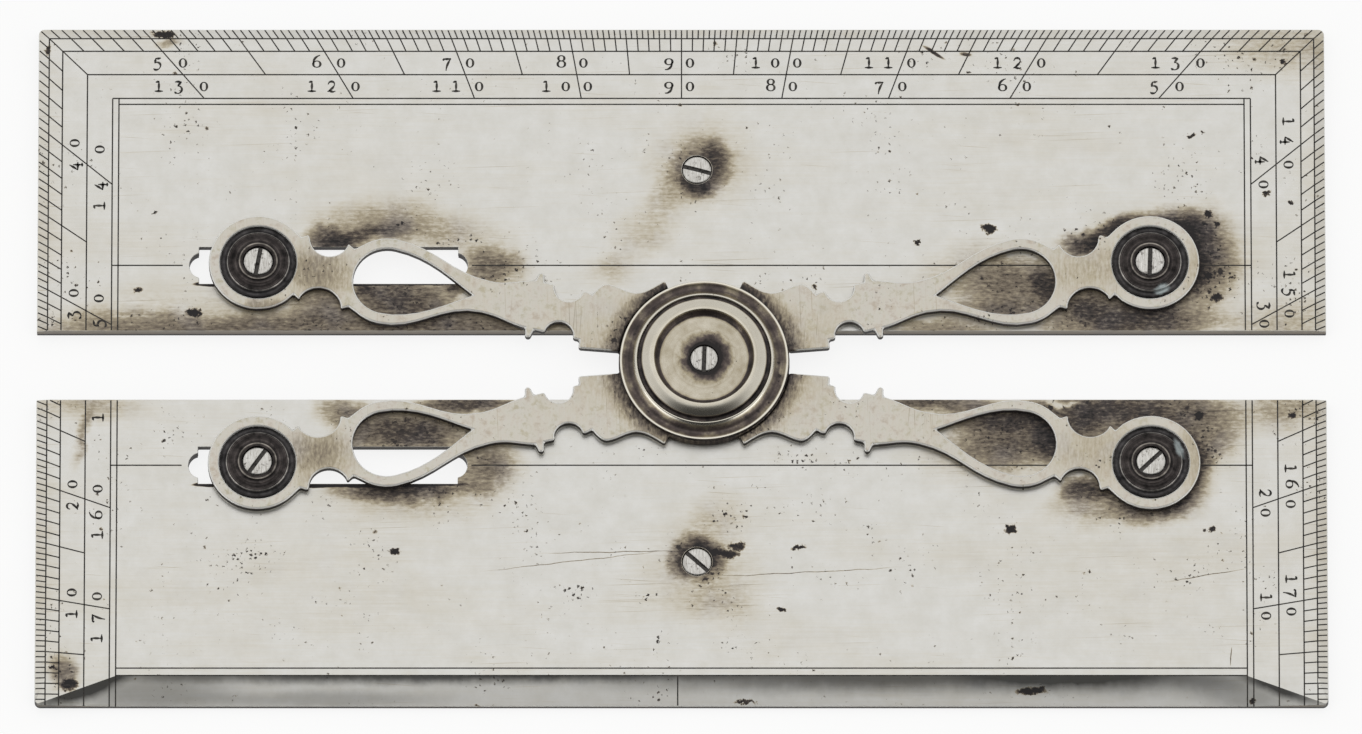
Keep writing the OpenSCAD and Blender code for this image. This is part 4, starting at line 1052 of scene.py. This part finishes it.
bar_metal = drawn_metal("filed_nickel_silver", BAR_TONES, BAR_MOTTLE, BAR_LAYERS, {}, BAR_WALLS,
                        BAR_FRONT_WALLS_BELOW, 90, BAR_GRAIN, (CROSSING.xy, DISC_SHELTER_AND_SHADE))
for bar in ("falling_bar", "rising_bar"):
    piece = merged_copy(bar, bar + "_scrolled", bar_metal, BAR_ROUND, lambda shell: sharpen_cusps(shell, bar))
    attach(piece, bar)

# Caps. Four turned steel caps let into the rings of the bars, browned by heat and oil, with a bright
# line at the step, rings left by the tool, and two pale patches, scrapes with a painted reflection in them.
CAP_STEP_R, CAP_LIP_R, CAP_ROOM_R, CAP_HOLE_R = 3.66, 2.27, 1.82, 0.80
CAP_RIM_Z, CAP_STEP_Z, CAP_FOOT_Z, CAP_SEAT_Z = 2.80, 2.96, 3.07, 2.73
CAP_DIP = 0.12
CAP_THREAD_R = 0.78
TURNED_SMOOTH = 30
# Breaks of the edges at the underside and the step, at the rim and the room, and outside the lip
STEP_BREAK, RIM_BREAK, LIP_BREAK = 0.04, 0.05, (0.02, 0.03)
# Ends of the slope, from the step and from the lip, and the height of its rings
SLOPE_FROM, SLOPE_TO, SLOPE_RIPPLE = 0.1, 0.14, 0.02
# Width of the tool's rings in the colour, size of its clouds, and the levels at which both dim or lift it
CAP_RINGS = 0.2
CAP_CLOUDS = 1.25
CAP_LEVELS = (0.34, 0.66, 0.25, 1.8)
CAP_METAL, CAP_ROUGH = 0.85, 0.34
CAP_BUMP = (0.5, 0.02)
# Grain, roughness and reach that make the edges of the pale patches, scrapes with a painted reflection in
# them, creep, and how soft they are
SCRAPE_AND_REFLECTION_CREEP = (0.7, 0.6, 0.8, 0.7)
# Colour at each radius, in centimetres
CM_PER_MM = 0.1
CAP_TONES = ((0.0, "#0E0B0B"), (0.18, "#120F0E"), (0.188, "#2A2625"), (0.208, "#3A3533"), (0.216, "#8A847C"),
             (0.226, "#6E6862"), (0.234, "#242121"), (0.27, "#3E3937"), (0.31, "#2E2A29"),
             (0.345, "#403B39"), (0.359, "#262424"), (0.361, "#A8A39D"), (0.366, "#A8A39D"),
             (0.369, "#2E2C2C"), (0.41, "#3D3B3B"), (0.44, "#302E2E"), (0.446, "#141110"))
CAP_SCRAPES_AND_REFLECTION = {
    "front of the upper right cap": (56.8, 9.1, 1.1, 0.6, 22, 0.8),
    "right of the lower right cap": (58.7, -10.9, 0.5, 1.4, 22, 0.6),
}
SCRAPE_AND_REFLECTION_TONE = "#AEB8B8"


def stretch(r0, r1, height, steps=9):
    """Part of a profile from one radius to another, with its height a function of the share of the way."""
    t = np.linspace(0, 1, steps)
    return np.c_[r0 + (r1 - r0) * t, height(t)]


# Browned steel: satin black-brown in rings, from its radius
browned, tree = empty_material("browned_turned_steel")
radius = add(tree, "Attribute", attribute_name="radius", out="Fac")
reach = add(tree, "Math", [radius, CM_PER_MM], operation="MULTIPLY")
tone = add(tree, "ValToRGB", [reach], stops=CAP_TONES)
lathe = add(tree, "CombineXYZ", [radius])
rings = add(tree, "TexNoise", {"Vector": lathe, "Scale": 1 / CAP_RINGS, "Detail": 3, "Roughness": 0.7})
flat = in_mm(tree)
cloud = add(tree, "TexNoise", {"Vector": flat, "Scale": 1 / CAP_CLOUDS, "Detail": 6, "Roughness": 0.7})
for noise in (rings, cloud):
    light = add(tree, "MapRange", [noise, *CAP_LEVELS])
    tone = add(tree, "VectorMath", {0: tone, "Scale": light}, operation="SCALE")
# Pale patches, scrapes with a painted reflection in them
scrape = patches(tree, flat, CAP_SCRAPES_AND_REFLECTION, SCRAPE_AND_REFLECTION_CREEP, 0.0)
tone = add(tree, "Mix", {0: scrape, 6: tone, 7: linear(SCRAPE_AND_REFLECTION_TONE)}, out=2, data_type="RGBA")
shade_metal(tree, tone, CAP_METAL, CAP_ROUGH, rings, *CAP_BUMP)

for cap, body, turn in (("upper_left", "upper_slider", 80), ("upper_right", "upper_plate", 88),
                        ("lower_left", "lower_slider", 55), ("lower_right", "lower_plate", 44)):
    low, high, middle, rim_r = extent(cap + "_cap")
    # From the hole out along the underside to the rim, over the dip, the step and the slope with its rings to
    # the lip, and down into the room for the screw's head
    profile = np.concatenate([
        [[CAP_HOLE_R, low[2]], [rim_r - STEP_BREAK, low[2]], [rim_r, low[2] + STEP_BREAK],
         [rim_r, CAP_RIM_Z - RIM_BREAK]],
        stretch(rim_r - RIM_BREAK, CAP_STEP_R, lambda t: CAP_RIM_Z - CAP_DIP * np.sin(np.pi * t)),
        [[CAP_STEP_R, CAP_STEP_Z - STEP_BREAK], [CAP_STEP_R - STEP_BREAK, CAP_STEP_Z]],
        stretch(CAP_STEP_R - SLOPE_FROM, CAP_LIP_R + SLOPE_TO,
                lambda t: CAP_STEP_Z + (CAP_FOOT_Z - CAP_STEP_Z) * t
                + SLOPE_RIPPLE * np.sin(6 * np.pi * t), 25),
        [[CAP_LIP_R + LIP_BREAK[0], high[2] - LIP_BREAK[1]], [CAP_LIP_R - STEP_BREAK, high[2]],
         [CAP_ROOM_R + RIM_BREAK, high[2]], [CAP_ROOM_R, high[2] - RIM_BREAK], [CAP_ROOM_R, CAP_SEAT_Z],
         [CAP_HOLE_R, CAP_SEAT_Z]]])
    corners, faces, radius = turned(profile)
    piece = built(cap + "_cap_turned", corners + middle, faces, browned, TURNED_SMOOTH, radius=radius)
    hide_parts(cap + "_cap")
    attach(piece, body)
    slotted_screw(cap + "_screw", CAP_SEAT_Z, CAP_THREAD_R, turn, body)

# Centre disc. A turned boss of nickel silver over the crossing of the bars, with a cove, a bead and a
# rounded ring about a dished face; it is held by one slotted screw, and dirt lies in its hollows.
RIM_H, RIM_W = 0.6, 0.35
COVE_W, COVE_DIP = 1.4, 0.25
BEAD_W, BEAD_RISE = 0.37, 0.5
GROOVE_W, GROOVE_D = 0.42, 0.12
RING_W, RING_H = 1.5, 0.66
DISH_WALL_W, DISH_D, DISH_RIPPLE = 0.62, 0.9, 0.003
DISC_RECESS_R, DISC_RECESS_D, DISC_HOLE_R = 1.70, 0.45, 0.80
# Insets and drops that round the rim's edge, breaks of the other edges, and widths of the groove's walls
RIM_ROUND = ((0, 0.08), (0.02, 0.03), (0.07, 0))
DISC_BREAK, RECESS_BREAK = 0.05, 0.04
GROOVE_WALLS = (0.06, 0.04)
# Share of dirt at each share of the rim's radius
DISC_DIRT = ((0.0, 1.0), (0.17, 0.95), (0.185, 0.6), (0.22, 0.24), (0.5, 0.2), (0.522, 0.3), (0.535, 0.82),
             (0.58, 0.78), (0.592, 0.1), (0.73, 0.06), (0.74, 0.5), (0.746, 0.95), (0.782, 0.9),
             (0.79, 0.05), (0.828, 0.04), (0.845, 0.5), (0.89, 0.75), (0.94, 0.62), (0.97, 0.5),
             (0.98, 0.02), (0.997, 0.02), (1.0, 0.9))
DISC_STAINS = {"round the screw": (CROSSING.x + 0.3, CROSSING.y + 0.2, 3.2, 3.2, 0, 1.2)}
DISC_TONES = ((0.0, "#DDD8CB"), (0.3, "#A2977F"), (0.5, "#6F655B"), (0.62, "#554B47"), (1.0, "#1B1514"))
# Width of the tool's rings and how much they count, then size and levels of the clouds
DISC_RINGS = 1 / 3
RINGS_COUNT = 0.25
DISC_CLOUDS = 2.5
DISC_LEVELS = (0.33, 0.67, 0.55, 1.3)
# Grain, roughness and reach for the edges of the stain, and how soft they are
STAIN_CREEP = (1.2, 0.65, 2.6, 0.9)
# The same for the edges of pits, then their spacing, how rare and how wide they are, and no count of specks
DISC_RAGGED = (0.7, 0.6, 0.5)
DISC_PITS = (1.3, 1.15, 0.3, 0)
# Levels of dirt for metal and for roughness, then the strength and depth of the rings' bumps
DISC_METAL = (0, 1, 1, 0.4)
DISC_ROUGH = (0, 1, 0.2, 0.45)
DISC_BUMP = (0.35, 0.008)
low, high, middle, rim_r = extent("centre_disc")
cove_r = rim_r - RIM_W
bead_r = cove_r - COVE_W
groove_r = bead_r - BEAD_W
ring_r = groove_r - GROOVE_W
wall_r = ring_r - RING_W
dish_r = wall_r - DISH_WALL_W
rim_z = low[2] + RIM_H
bead_z = rim_z + BEAD_RISE
dish_z = high[2] - DISH_D
# From the hole out along the underside to the rim, over the cove, the bead, the groove and the ring, down the
# wall to the rippled dish, and into the room for the screw's head
profile = np.concatenate([
    [[DISC_HOLE_R, low[2]], [rim_r - DISC_BREAK, low[2]], [rim_r, low[2] + DISC_BREAK]],
    [[rim_r - inset, rim_z - drop] for inset, drop in RIM_ROUND],
    stretch(cove_r, bead_r, lambda t: rim_z + BEAD_RISE * t ** 2 - COVE_DIP * np.sin(np.pi * t), 17),
    stretch(bead_r, groove_r, lambda t: bead_z + BEAD_W / 3 * np.sin(np.pi * t), 9)[1:],
    [[groove_r - GROOVE_WALLS[0], bead_z - GROOVE_D], [ring_r + GROOVE_WALLS[1], bead_z - GROOVE_D]],
    stretch(ring_r, wall_r, lambda t: high[2] - RING_H + RING_H * np.sin(np.pi / 2 * t), 21),
    stretch(wall_r, dish_r, lambda t: high[2] - DISH_D * np.sin(np.pi / 2 * t), 13)[1:],
    stretch(dish_r - DISC_BREAK, DISC_RECESS_R + RECESS_BREAK,
            lambda t: dish_z + DISH_RIPPLE * np.sin(14 * np.pi * t), 57),
    [[DISC_RECESS_R, dish_z - RECESS_BREAK], [DISC_RECESS_R, dish_z - DISC_RECESS_D],
     [DISC_HOLE_R, dish_z - DISC_RECESS_D]]])

# Turned nickel silver: bright on what stands proud, brown-black in what lies deep
turned_silver, tree = empty_material("turned_nickel_silver")
radius = add(tree, "Attribute", attribute_name="radius", out="Fac")
share = add(tree, "Math", [radius, 1 / rim_r], operation="MULTIPLY")
dirt_and_shade = add(tree, "ValToRGB", [share], stops=DISC_DIRT)
lathe = add(tree, "CombineXYZ", [radius])
rings = add(tree, "TexNoise", {"Vector": lathe, "Scale": 1 / DISC_RINGS, "Detail": 5, "Roughness": 0.7})
flat = in_mm(tree)
cloud = add(tree, "TexNoise", {"Vector": flat, "Scale": 1 / DISC_CLOUDS, "Detail": 8, "Roughness": 0.65})
cloud = add(tree, "MapRange", [cloud, *DISC_LEVELS])
dirt_and_shade = add(tree, "Math", [dirt_and_shade, cloud], operation="MULTIPLY")
dirt_and_shade = patches(tree, flat, DISC_STAINS, STAIN_CREEP, dirt_and_shade)
lifted = add(tree, "Math", [rings, 0.5], operation="SUBTRACT")
dirt_and_shade = add(tree, "Math", [lifted, RINGS_COUNT, dirt_and_shade], operation="MULTIPLY_ADD", use_clamp=True)
pit = pits(tree, moved(tree, flat, *DISC_RAGGED), *DISC_PITS, dirt_and_shade, 0.0)
dirt_and_shade = add(tree, "Math", [dirt_and_shade, pit], operation="MAXIMUM")
tone = add(tree, "ValToRGB", [dirt_and_shade], stops=DISC_TONES)
metal = add(tree, "MapRange", [dirt_and_shade, *DISC_METAL])
rough = add(tree, "MapRange", [dirt_and_shade, *DISC_ROUGH])
shade_metal(tree, tone, metal, rough, rings, *DISC_BUMP)

corners, faces, radius = turned(profile)
disc = built("centre_disc_turned", corners + middle, faces, turned_silver, TURNED_SMOOTH, radius=radius)
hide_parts("centre_disc")
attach(disc, "falling_bar")
slotted_screw("centre_screw", dish_z - DISC_RECESS_D, CAP_THREAD_R, 88, "falling_bar")
